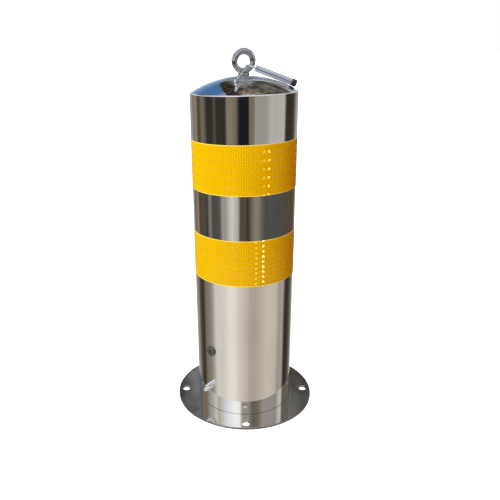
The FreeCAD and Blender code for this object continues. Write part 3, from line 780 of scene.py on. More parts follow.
@dataclass(frozen=True)
class ReflectiveFilm(Finish):
    """Yellow retroreflective film: a honeycomb of cells under a clear face, some with a bright lens.

    Start and rise place the cells round and up the post, and lens is a radius in cells.
    """

    radius: float = 0.11005
    cell_width: float = 0.0100
    cell_height: float = 0.0056
    start: float = 1.00726
    rise: float = 0.0065
    lens: float = 0.24
    lens_edge: float = 0.05
    wall_edge: Span = (0.02, 0.10)
    dot_edge: Span = (0.07, 0.17)
    dot_share: float = 0.4
    lowest_edge: float = 0.3225
    band_pitch: float = 0.1925
    band_height: float = 0.100
    between_bands: float = 0.460
    trim: float = 0.0009
    wall: Colour = (0.90, 0.60, 0.004)
    inside: Colour = (0.76, 0.42, 0.001)
    dot: Colour = (0.34, 0.14, 0.0)
    edge: Colour = (0.98, 0.74, 0.12)
    shade: Clouds = Clouds(14, 3, 0.5, (1, 1, 0.5))
    shade_change: Span = (0.4, 0.8)
    shade_share: Span = (0.0, 0.35)
    wall_height: float = 0.5
    cell_depth: float = 1.2
    relief: float = 0.00035
    roughness: float = 0.38
    lens_roughness: float = 0.05
    slot = "reflective_film"

    def nearest(self, board: NodeBoard, around: Feed, height: Feed, shift: float) -> Socket:
        """Distance to the nearest cell middle of every second row, in cells.

        Args:
            board: Where the nodes go.
            around: Length round the post.
            height: Length up the post.
            shift: 0 for the even rows, 0.5 for the odd ones.

        Returns:
            The distance.
        """
        across = board.math("ADD", board.math("DIVIDE", around, self.cell_width), shift)
        up = board.math("ADD", board.math("DIVIDE", height, self.cell_height), shift)
        across = board.math("SUBTRACT", board.math("FRACT", across), 0.5)
        up = board.math("SUBTRACT", board.math("FRACT", up), 0.5)
        up = board.math("MULTIPLY", up, self.cell_height / self.cell_width)
        return board.distance(across, up)

    def trimmed(self, board: NodeBoard, height: Feed) -> Socket:
        """Find the cut edges of either band.

        Args:
            board: Where the nodes go.
            height: Length up the post.

        Returns:
            1 on the edges, 0 elsewhere.
        """
        half = self.band_height / 2
        above = board.math("SUBTRACT", height, self.lowest_edge)
        above = board.math("FLOORED_MODULO", above, self.band_pitch)
        off_middle = board.math("ABSOLUTE", board.math("SUBTRACT", above, half))
        return board.fit(off_middle, half - self.trim * 2, half - self.trim)

    def lenses(self, board: NodeBoard, nearest: Feed, height: Feed, upper: Feed) -> Socket:
        """Find the cells that glint: every second row of a set, every third in the upper band.

        Args:
            board: Where the nodes go.
            nearest: Distance to the nearest cell middle of the set, in cells.
            height: Length up the post, with a row of the set from 0 to one cell's height.
            upper: 1 in the upper band, 0 in the lower one.

        Returns:
            1 inside these cells, 0 elsewhere.
        """
        period = board.math("MULTIPLY_ADD", upper, self.cell_height, 2 * self.cell_height)
        in_row = board.math("FLOORED_MODULO", height, period)
        in_row = board.math("LESS_THAN", in_row, self.cell_height)
        return board.math("MULTIPLY", in_row, board.fall(nearest, self.lens, self.lens + self.lens_edge))

    def build(self, board: NodeBoard, shader: Node) -> None:
        """Honeycomb on the length round the post and the height, under a clear face.

        Args:
            board: Where the nodes go.
            shader: The surface that they make.
        """
        place = board.add("SeparateXYZ", {0: board.object_place()}).outputs
        angle = board.math("ARCTAN2", place[0], board.math("MULTIPLY", place[1], -1.0))
        around = board.math("MULTIPLY_ADD", angle, self.radius, self.start)
        height = place[2]
        raised = board.math("ADD", height, self.rise)
        even = self.nearest(board, around, raised, 0.0)
        odd = self.nearest(board, around, raised, 0.5)
        upper = board.math("GREATER_THAN", height, self.between_bands)
        odd_height = board.math("ADD", raised, self.cell_height / 2)
        even_lenses = self.lenses(board, even, raised, upper)
        odd_lenses = self.lenses(board, odd, odd_height, upper)
        middle = board.math("MINIMUM", even, odd)
        border = board.math("ABSOLUTE", board.math("SUBTRACT", even, odd))
        walls = board.fall(border, *self.wall_edge)
        dots = board.fall(middle, *self.dot_edge)
        colour = board.mix(walls, self.inside, self.wall)
        shade = board.fit(self.shade.on(board), *self.shade_change, *self.shade_share)
        colour = board.mix(shade, colour, self.wall)
        colour = board.mix(board.math("MULTIPLY", dots, self.dot_share), colour, self.dot)
        colour = board.mix(self.trimmed(board, height), colour, self.edge)
        hollow = board.math("MULTIPLY", board.math("MAXIMUM", middle, self.lens), self.cell_depth)
        relief = board.math("MULTIPLY_ADD", walls, self.wall_height, hollow)
        board.fill(shader, {
            "Base Color": colour,
            "Roughness": self.roughness,
            "Specular IOR Level": 0.0,
            "Coat Weight": board.math("MAXIMUM", even_lenses, odd_lenses),
            "Coat Roughness": self.lens_roughness,
            "Normal": board.bump(relief, self.relief),
        })


@dataclass(frozen=True)
class PaleFloor(Finish):
    """Plain pale studio floor."""

    base: Colour = (0.93, 0.93, 0.93)
    paler: Colour = (0.95, 0.95, 0.95)
    grain: Clouds = Clouds(40, 2)
    glow: float = 0.9
    slot = "floor"

    def build(self, board: NodeBoard, shader: Node) -> None:
        """Matt white with a trace of grain.

        Args:
            board: Where the nodes go.
            shader: The surface that they make.
        """
        board.fill(shader, {
            "Base Color": board.mix(self.grain.on(board), self.base, self.paler),
            "Roughness": 1.0,
            "Specular IOR Level": 0.0,
            "Emission Color": WHITE,
            "Emission Strength": self.glow,
        })


# Sub-assemblies


def hand_over(piece: Piece, node: str, body: str, finish: Finish) -> None:
    """Name a finished piece, dress it and let it stand for its CAD node.

    Args:
        piece: The finished piece.
        node: The CAD node that it replaces, whose name it takes with an ending.
        body: The body that it rides on.
        finish: Its finish.
    """
    Bench.smooth(piece)
    piece.name = node + "_finished"
    finish.dress(piece)
    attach(piece, body)
    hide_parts(node)
    LOG.info("%s: %d faces, %s", piece.name, len(piece.data.polygons), finish.slot)


@dataclass
class FixedBase:
    """Base plate with its anchor holes, and the sleeve and rings that the post drops over."""

    plate_radius: float = 0.160
    plate_thickness: float = 0.005
    plate_rounding: float = 0.0008
    plate_chamfer: float = 0.0003
    rim_width: float = 0.0012
    flat_edge: float = 0.0016
    disc_edge: float = 0.004
    hole_circle: float = 0.1425
    hole_radius: float = 0.009
    hole_chamfer: float = 0.0004
    holes: int = 4
    drill_beyond: float = 0.001
    sleeve_radius: float = 0.084
    sleeve_wall: float = 0.003
    sleeve_top: float = 0.185
    sleeve_bevel: float = 0.0015
    sleeve_inner_bevel: float = 0.0004
    ring_radius: float = 0.100
    ring_thickness: float = 0.005
    ring_bevel: float = 0.001
    keeper_bottom: float = 0.1635
    notch: Triple = (0.034, 0.050, 0.020)
    lock_bearing: float = 43.5
    body: str = "base"

    def drill(self, centre: Span) -> Piece:
        """Make what cuts one anchor hole, wider at both faces of the plate.

        Args:
            centre: Middle of the hole.

        Returns:
            The drill, turned half a facet so that no corner lies on an edge of the plate.
        """
        hole, lip, beyond = self.hole_radius, self.hole_chamfer, self.drill_beyond
        top = self.plate_thickness
        shape = [(hole + lip + beyond, -beyond), (hole, lip)]
        shape += [(hole, top - lip), (hole + lip + beyond, top + beyond)]
        tool = Bench.turned(shape, AROUND_HOLE, Ends.DISCS)
        half_facet = Matrix.Rotation(math.pi / AROUND_HOLE, 4, "Z")
        Bench.place(tool, Matrix.Translation((*centre, 0)) @ half_facet)
        return tool

    def plate(self) -> None:
        """Round plate with a softened edge and four holes."""
        radius, top, rounding = self.plate_radius, self.plate_thickness, self.plate_rounding
        chamfer = self.plate_chamfer
        inside = 2 * self.hole_circle - radius + self.disc_edge
        outline = [(inside, 0.0), (radius - self.rim_width, 0.0)]
        outline += [(radius - chamfer, 0.0), (radius, chamfer)]
        outline += arc((radius - rounding, top - rounding), rounding, 0, 90, 6)
        outline += [(radius - self.flat_edge, top), (inside, top)]
        piece = Bench.turned(outline, AROUND_POST, Ends.DISCS)
        for number in range(self.holes):
            turn = math.radians(360 / self.holes * number)
            centre = (self.hole_circle * math.cos(turn), self.hole_circle * math.sin(turn))
            Bench.combine(piece, self.drill(centre), "DIFFERENCE")
        hand_over(piece, "base_flange", self.body, PolishedSteel())

    def sleeve(self) -> None:
        """Tube on the plate with a lead-in round its top."""
        outer, inner = self.sleeve_radius, self.sleeve_radius - self.sleeve_wall
        bottom, top, soft = self.plate_thickness, self.sleeve_top, self.sleeve_inner_bevel
        outline = [(inner, bottom), (outer, bottom), (outer, top - self.sleeve_bevel)]
        outline += [(outer - self.sleeve_bevel, top), (inner + soft, top), (inner, top - soft)]
        hand_over(Bench.turned(outline, AROUND_SLEEVE, Ends.LOOP), "base_sleeve", self.body, PlainSteel())

    def ring(self, bottom: float) -> Piece:
        """Make a ring round the sleeve with a bevelled upper edge.

        Args:
            bottom: Height of its underside.

        Returns:
            The ring.
        """
        outer, top = self.ring_radius, bottom + self.ring_thickness
        outline = [(self.sleeve_radius, bottom), (outer, bottom), (outer, top - self.ring_bevel)]
        outline += [(outer - self.ring_bevel, top), (self.sleeve_radius, top)]
        return Bench.turned(outline, AROUND_SLEEVE, Ends.LOOP)

    def rings(self) -> None:
        """Ring at the sleeve's foot, and keeper ring with its notch."""
        hand_over(self.ring(self.plate_thickness), "foot_ring", self.body, PlainSteel())
        keeper = self.ring(self.keeper_bottom)
        middle = outward(self.lock_bearing) * self.ring_radius
        middle.z = self.keeper_bottom + self.ring_thickness / 2
        Bench.combine(keeper, Bench.block(self.notch, middle, -self.lock_bearing), "DIFFERENCE")
        hand_over(keeper, "keeper_ring", self.body, PlainSteel())

    def build(self) -> None:
        """Make the plate, the sleeve and the rings."""
        self.plate()
        self.sleeve()
        self.rings()


@dataclass
class PostShell:
    """Polished tube, its domed cap and the two reflective bands."""

    radius: float = 0.1095
    wall: float = 0.003
    foot: float = 0.005
    tube_top: float = 0.693
    foot_bevel: float = 0.0008
    foot_chamfer: float = 0.0003
    rim: float = 0.705
    top: float = 0.735
    rim_rounding: float = 0.0025
    eye_hole: float = 0.0065
    lock_hole: float = 0.0098
    lock_drill: Span = (0.09, 0.13)
    lock_zone: float = 0.02
    lock_height: float = 0.154
    lock_bearing: float = 43.5
    band_inner: float = 0.10955
    band_outer: float = 0.11005
    band_height: float = 0.100
    band_bottoms: Span = (0.3225, 0.5150)
    band_joint: Span = (0.0005, 0.004)
    band_chamfer: float = 0.0001
    body: str = "post"

    def tube(self) -> None:
        """Main tube with its foot bevel and the lock's hole."""
        outer, inner = self.radius, self.radius - self.wall
        low, high = self.lock_height - self.lock_zone, self.lock_height + self.lock_zone
        foot, chamfer = self.foot, self.foot_chamfer
        outline = [(inner, self.tube_top), (inner, high), (inner, low)]
        outline += [(inner, foot + self.foot_bevel), (inner + self.foot_bevel, foot)]
        outline += [(outer - chamfer, foot), (outer, foot + chamfer)]
        outline += [(outer, low), (outer, high), (outer, self.tube_top)]
        piece = Bench.turned(outline, AROUND_POST, Ends.LOOP)
        shape = [(self.lock_hole, height) for height in self.lock_drill]
        drill = Bench.turned(shape, AROUND_HOLE, Ends.DISCS)
        Bench.place(drill, along(outward(self.lock_bearing), UP * self.lock_height, UP))
        Bench.combine(piece, drill, "DIFFERENCE")
        hand_over(piece, "post_tube", self.body, PolishedSteel())

    def cap(self) -> None:
        """Shallow dome with a rounded rim and a short skirt."""
        rise = self.top - self.rim
        ball = (self.radius ** 2 + rise ** 2) / (2 * rise)
        centre = self.top - ball
        inner_ball, inner = ball - self.wall, self.radius - self.wall
        rounding = self.rim_rounding
        turn_in = math.degrees(math.acos((self.radius - rounding) / (ball - rounding)))
        corner_height = centre + (ball - rounding) * math.sin(math.radians(turn_in))
        hole_angle = math.degrees(math.acos(self.eye_hole / ball))
        outline = [(self.radius, self.tube_top)]
        outline += arc((self.radius - rounding, corner_height), rounding, 0, turn_in, 10)
        outline += arc((0, centre), ball, turn_in, hole_angle, 56)[1:]
        inner_hole = math.degrees(math.acos(self.eye_hole / inner_ball))
        inner_rim = math.degrees(math.acos(inner / inner_ball))
        outline += arc((0, centre), inner_ball, inner_hole, inner_rim, 24)
        outline += [(inner, self.tube_top)]
        piece = Bench.turned(outline, AROUND_POST, Ends.LOOP)
        hand_over(piece, "dome_cap", self.body, PolishedSteel())

    def band(self, node: str, bottom: float) -> Piece:
        """Make film wrapped once round the tube, with its butt joint at the back.

        Args:
            node: The CAD node that it replaces.
            bottom: Height of its lower edge.

        Returns:
            The band.
        """
        soft, top = self.band_chamfer, bottom + self.band_height
        outline = [(self.band_inner, bottom), (self.band_outer - soft, bottom)]
        outline += [(self.band_outer, bottom + soft), (self.band_outer, top - soft)]
        outline += [(self.band_outer - soft, top), (self.band_inner, top)]
        piece = Bench.turned(outline, AROUND_POST, Ends.LOOP)
        middle = Vector((0, self.band_outer, bottom + self.band_height / 2))
        size = (*self.band_joint, self.band_height * 2)
        Bench.combine(piece, Bench.block(size, middle, 0), "DIFFERENCE")
        hand_over(piece, node, self.body, ReflectiveFilm())
        return piece

    def build(self) -> list[Piece]:
        """Make the tube, the cap and the bands.

        Returns:
            The bands.
        """
        self.tube()
        self.cap()
        nodes = zip(("lower_band", "upper_band"), self.band_bottoms)
        return [self.band(node, bottom) for node, bottom in nodes]


@dataclass
class LiftingEye:
    """Forged ring on a flared foot, with its screw below the cap."""

    cap_top: float = 0.735
    ring_radius: float = 0.0185
    bar_radius: float = 0.0057
    ring_centre: float = 0.7623
    turn: float = 13.0
    collar_radius: float = 0.0115
    collar_height: float = 0.005
    collar_bevel: float = 0.0007
    neck_flare: float = 1.25
    neck_rise: float = 0.0012
    screw_radius: float = 0.006
    screw_length: float = 0.027
    screw_bevel: float = 0.001
    ring_segments: tuple[int, int] = (128, 40)
    voxel: float = 0.0005
    melting: float = 0.5
    melting_rounds: int = 10
    body: str = "post"

    def build(self) -> None:
        """Join ring and foot, and melt the corner between them into a soft neck."""
        top, collar, soft = self.cap_top, self.collar_radius, self.collar_bevel
        screw, screw_end = self.screw_radius, self.cap_top - self.screw_length
        neck = self.ring_centre - self.ring_radius
        shoulder = top + self.collar_height
        outline = [(screw - self.screw_bevel, screw_end), (screw, screw_end + self.screw_bevel)]
        outline += [(screw, top), (collar - soft, top), (collar, top + soft), (collar, shoulder - soft)]
        outline += [(collar - soft, shoulder), (self.bar_radius * self.neck_flare, neck - self.neck_rise)]
        outline += [(self.bar_radius, neck)]
        piece = Bench.turned(outline, AROUND_SMALL, Ends.DISCS)
        Bench.clear()
        around, across = self.ring_segments
        bpy.ops.mesh.primitive_torus_add(
            major_radius=self.ring_radius,
            minor_radius=self.bar_radius,
            major_segments=around,
            minor_segments=across,
            location=(0, 0, self.ring_centre),
            rotation=(math.radians(90), 0, math.radians(self.turn)),
        )
        ring = bpy.context.object
        Bench.settle()
        Bench.combine(piece, ring, "UNION")
        Bench.modify(piece, "REMESH", mode="VOXEL", voxel_size=self.voxel)
        Bench.modify(piece, "SMOOTH", factor=self.melting, iterations=self.melting_rounds)
        hand_over(piece, "lifting_eye", self.body, ForgedSteel())


@dataclass
class PostLock:
    """Lock through the post's side: body with its round head, and turning core with the key slot."""

    height: float = 0.154
    bearing: float = 43.5
    seat: float = 0.1105
    face: float = 0.113
    barrel_end: float = 0.0935
    barrel_radius: float = 0.0095
    barrel_bevel: float = 0.0005
    head_radius: float = 0.011
    head_bevel: float = 0.0007
    bore: float = 0.0061
    face_bore: float = 0.0071
    core_radius: float = 0.006
    core_face_radius: float = 0.007
    core_face: float = 0.002
    core_play: float = 0.0001
    core_bevel: float = 0.0002
    core_end: float = 0.0931
    tang_radius: float = 0.004
    tang_end: float = 0.0906
    screw_radius: float = 0.0025
    screw_depth: float = 0.0081
    slot: Triple = (0.0024, 0.008, 0.016)

    def place(self) -> Matrix:
        """Place of the lock's axis, its own Z axis pointing away from the post."""
        return along(outward(self.bearing), UP * self.height, UP)

    def lock_body(self) -> None:
        """Barrel and head, bored for the core."""
        bevel, face, bore = self.head_bevel, self.face, self.face_bore
        barrel, barrel_bevel, soft = self.barrel_radius, self.barrel_bevel, self.core_bevel
        step = face - self.core_face - self.core_play
        outline = [(self.bore, self.barrel_end), (barrel - barrel_bevel, self.barrel_end)]
        outline += [(barrel, self.barrel_end + barrel_bevel), (barrel, self.seat)]
        outline += [(self.head_radius, self.seat)]
        outline += arc((self.head_radius - bevel, face - bevel), bevel, 0, 90, 5)
        outline += [(bore + soft, face), (bore, face - soft), (bore, step), (self.bore, step)]
        piece = Bench.turned(outline, AROUND_SMALL, Ends.LOOP)
        Bench.place(piece, self.place())
        hand_over(piece, "lock_body", "post", LockMetal())

    def lock_core(self) -> None:
        """Core with a keyway in its face."""
        soft, face, radius = self.core_bevel, self.face, self.core_face_radius
        outline = [(radius - soft, face), (radius, face - soft), (radius, face - self.core_face)]
        outline += [(self.core_radius, face - self.core_face), (self.core_radius, self.core_end)]
        outline += [(self.tang_radius, self.core_end), (self.tang_radius, self.tang_end)]
        outline += [(self.screw_radius, self.tang_end)]
        outline += [(self.screw_radius, self.tang_end + self.screw_depth)]
        piece = Bench.turned(outline, AROUND_SMALL, Ends.DISCS)
        Bench.combine(piece, Bench.block(self.slot, Vector((0, 0, face)), 0), "DIFFERENCE")
        Bench.place(piece, self.place())
        hand_over(piece, "lock_core", "lock_core", CoreBrass())

    def build(self) -> None:
        """Make the body and the core."""
        self.lock_body()
        self.lock_core()


@dataclass
class ChainStaple:
    """Bent bar welded to the post at both ends."""

    post_radius: float = 0.1095
    bar_radius: float = 0.0035
    bend_radius: float = 0.0165
    leg: float = 0.001
    height: float = 0.062
    bearing: float = 46.0
    slope: float = 57.0
    weld_swell: float = 1.28
    weld_reach: float = 0.0024
    weld_depth: float = 0.0005
    bend_steps: int = 40
    section: int = 7
    cutter: Span = (0.02, 0.10)
    # Lighter tones than the eye's forged steel: a lit copy of the same steel, painted highlight.
    lit_copy_tones: tuple[Colour, Colour] = ((0.96, 0.96, 0.95), (0.86, 0.86, 0.85))
    body: str = "post"

    def build(self) -> None:
        """Sweep the bar, swell its feet where they are welded and fit them to the post."""
        shoulder, bend, bar = self.post_radius + self.leg, self.bend_radius, self.bar_radius
        legs = (self.post_radius - bar * 2, self.post_radius - self.weld_depth, self.post_radius)
        points = [Vector((bend, -distance, 0)) for distance in legs]
        radii = [bar * self.weld_swell] * len(legs)
        for number in range(self.bend_steps + 1):
            turn = math.pi * number / self.bend_steps
            points.append(Vector((bend * math.cos(turn), -shoulder - bend * math.sin(turn), 0)))
            walked = min(turn, math.pi - turn) * bend + self.leg
            share = max(0.0, 1 - walked / self.weld_reach)
            radii.append(bar * (1 + (self.weld_swell - 1) * share ** 2))
        points += [Vector((-bend, -distance, 0)) for distance in reversed(legs)]
        radii += [bar * self.weld_swell] * len(legs)
        piece = Bench.round_tube(points, radii, self.section)
        lean = Matrix.Rotation(math.radians(self.slope), 4, Vector((0, -1, 0)))
        swing = Matrix.Rotation(math.radians(-self.bearing), 4, "Z")
        Bench.place(piece, Matrix.Translation((0, 0, self.height)) @ swing @ lean)
        wall = [(self.post_radius, height) for height in self.cutter]
        Bench.combine(piece, Bench.turned(wall, AROUND_POST, Ends.DISCS), "DIFFERENCE")
        # The staple wears the lit copy of the forged steel: painted highlight.
        hand_over(piece, "chain_staple", self.body, ForgedSteel(*self.lit_copy_tones))


@dataclass
class LiftingKey:
    """Loose key on the cap: round grip, dark end cap and bent rod with a short hook."""

    grip_end: Place = (0.0229133, -0.0046966, 0.7490609)
    grip_lie: Place = (0.931602, 0.0, -0.36348)
    grip_radius: float = 0.00625
    grip_length: float = 0.0845
    grip_bore: float = 0.00215
    bore_depth: float = 0.020
    grip_chamfer: float = 0.0003
    grip_rounding: float = 0.001
    # Darker tones than the rod's key steel: a shaded copy of the same steel, painted shade.
    shaded_copy_tones: tuple[Colour, Colour] = ((0.60, 0.655, 0.73), (0.49, 0.53, 0.58))
    cap_start: float = 0.077
    cap_end: float = 0.0875
    cap_radius: float = 0.007
    cap_rounding: float = 0.0025
    cap_chamfer: float = 0.0002
    cap_lip: float = 0.0004
    rod_radius: float = 0.0021
    rod_beyond: float = 0.0162
    rod_gap: float = 0.0001
    ball_steps: int = 8
    least_tip: float = 0.02
    bend_steps: int = 12
    section: int = 7
    hook: Place = (-0.0210, -0.0875, 0.7284428)
    tip: Place = (-0.0162, -0.0765, 0.7228382)
    bends: Span = (0.005, 0.0036)
    body: str = "post"

    def lay(self, piece: Piece) -> None:
        """Lay a piece made along Z from the grip's upper end down the grip."""
        Bench.place(piece, along(Vector(self.grip_lie), Vector(self.grip_end), Vector((0, 1, 0))))

    def grip(self) -> None:
        """Round bar, bored at its upper end, with softened edges."""
        radius, soft = self.grip_radius, self.grip_rounding
        bore, chamfer = self.grip_bore, self.grip_chamfer
        outline = [(bore, self.bore_depth), (bore, chamfer), (bore + chamfer, 0.0)]
        outline += arc((radius - soft, soft), soft, -90, 0, 6)
        outline += [(radius, self.grip_length)]
        piece = Bench.turned(outline, AROUND_SMALL, Ends.DISCS)
        self.lay(piece)
        # The grip wears the shaded copy of the key steel: painted shade.
        hand_over(piece, "key_grip", self.body, KeySteel(*self.shaded_copy_tones))

    def end_cap(self) -> None:
        """Rounded cap pushed over the grip's lower end."""
        radius, rounding, lip = self.cap_radius, self.cap_rounding, self.cap_lip
        grip, start, chamfer = self.grip_radius, self.cap_start, self.cap_chamfer
        outline = [(grip, self.grip_length), (grip, start + chamfer), (grip + chamfer, start)]
        outline += arc((radius - lip, start + lip), lip, -90, 0, 4)
        outline += arc((radius - rounding, self.cap_end - rounding), rounding, 0, 90, 10)
        piece = Bench.turned(outline, AROUND_SMALL, Ends.DISCS)
        self.lay(piece)
        hand_over(piece, "key_end_cap", self.body, DarkPlastic())

    def rounded_line(self, corners: list[Vector]) -> list[Vector]:
        """Line through corners, with each inner corner turned in an arc.

        Args:
            corners: The ends and the two corners between them.

        Returns:
            Points along the line.
        """
        line = [corners[0]]
        for before, corner, after, radius in zip(corners, corners[1:], corners[2:], self.bends):
            incoming = (corner - before).normalized()
            leaving = (after - corner).normalized()
            half = incoming.angle(leaving) / 2
            start = corner - incoming * radius * math.tan(half)
            centre = corner + (leaving - incoming).normalized() * radius / math.cos(half)
            axis = incoming.cross(leaving).normalized()
            for number in range(self.bend_steps + 1):
                turn = Matrix.Rotation(2 * half * number / self.bend_steps, 3, axis)
                line.append(centre + turn @ (start - centre))
        return line + [corners[-1]]

    def rod(self) -> None:
        """Bent rod from inside the grip to a short hook with a ball end."""
        start, direction = Vector(self.grip_end), Vector(self.grip_lie)
        hook, tip = Vector(self.hook), Vector(self.tip)
        inside = start + direction * (self.bore_depth - self.rod_gap)
        bend = start - direction * self.rod_beyond
        line = self.rounded_line([inside, bend, hook, tip])
        radii = [self.rod_radius] * len(line)
        onward = (tip - hook).normalized()
        for number in range(1, self.ball_steps + 1):
            turn = math.radians(90 * number / self.ball_steps)
            line.append(tip + onward * self.rod_radius * math.sin(turn))
            radii.append(self.rod_radius * max(math.cos(turn), self.least_tip))
        piece = Bench.round_tube(line, radii, self.section)
        # The rod wears the bright default, the lit copy of the key steel: painted highlight.
        hand_over(piece, "key_rod", self.body, KeySteel())

    def build(self) -> None:
        """Make the grip, its end cap and the rod."""
        self.grip()
        self.end_cap()
        self.rod()


@dataclass
class HiddenHardware:
    """CAD nodes that keep their own shape and get their finish here."""

    plated: tuple[str, ...] = (
        "eye_washer", "eye_split_washer", "eye_nut", "lock_nut", "lock_cam", "cam_screw",
    )
    rubber: tuple[str, ...] = ("lock_gasket",)

    def build(self, nodes: dict[str, Piece]) -> None:
        """Dress the kept nodes.

        Args:
            nodes: The CAD nodes by name.
        """
        for names, finish in ((self.plated, PlatedSteel()), (self.rubber, RubberSeal())):
            for name in names:
                finish.dress(nodes[name])
                LOG.info("%s: %s", name, finish.slot)


# Studio


class Tone(Enum):
    """Tones of the surroundings that the polished steel mirrors, as screen colours."""

    SNOW = (246, 245, 244)
    CREAM = (224, 216, 205)
    LIGHT = (204, 199, 192)
    SILVER = (176, 173, 167)
    SAND = (191, 181, 169)
    PEARL = (166, 164, 161)
    STONE = (170, 160, 149)
    GREY = (150, 146, 140)
    COOL = (134, 144, 153)
    DUN = (130, 121, 110)
    TAUPE = (118, 107, 94)
    OLIVE = (102, 98, 89)
    SLATE = (76, 75, 72)
    UMBER = (84, 68, 50)
    DARK = (52, 46, 41)
    INK = (26, 29, 34)
    MIST = (220, 225, 233)
    HAZE = (91, 96, 102)
    BRIGHT_SKY = (190, 208, 226)
    HIGH_SKY = (112, 146, 184)
    SKY = (72, 110, 154)
    LILAC = (236, 236, 250)

    @property
    def colour(self) -> Colour:
        """The tone as a linear colour."""
        return linear(*self.value)


Stripes = tuple[tuple[float, Tone], ...]


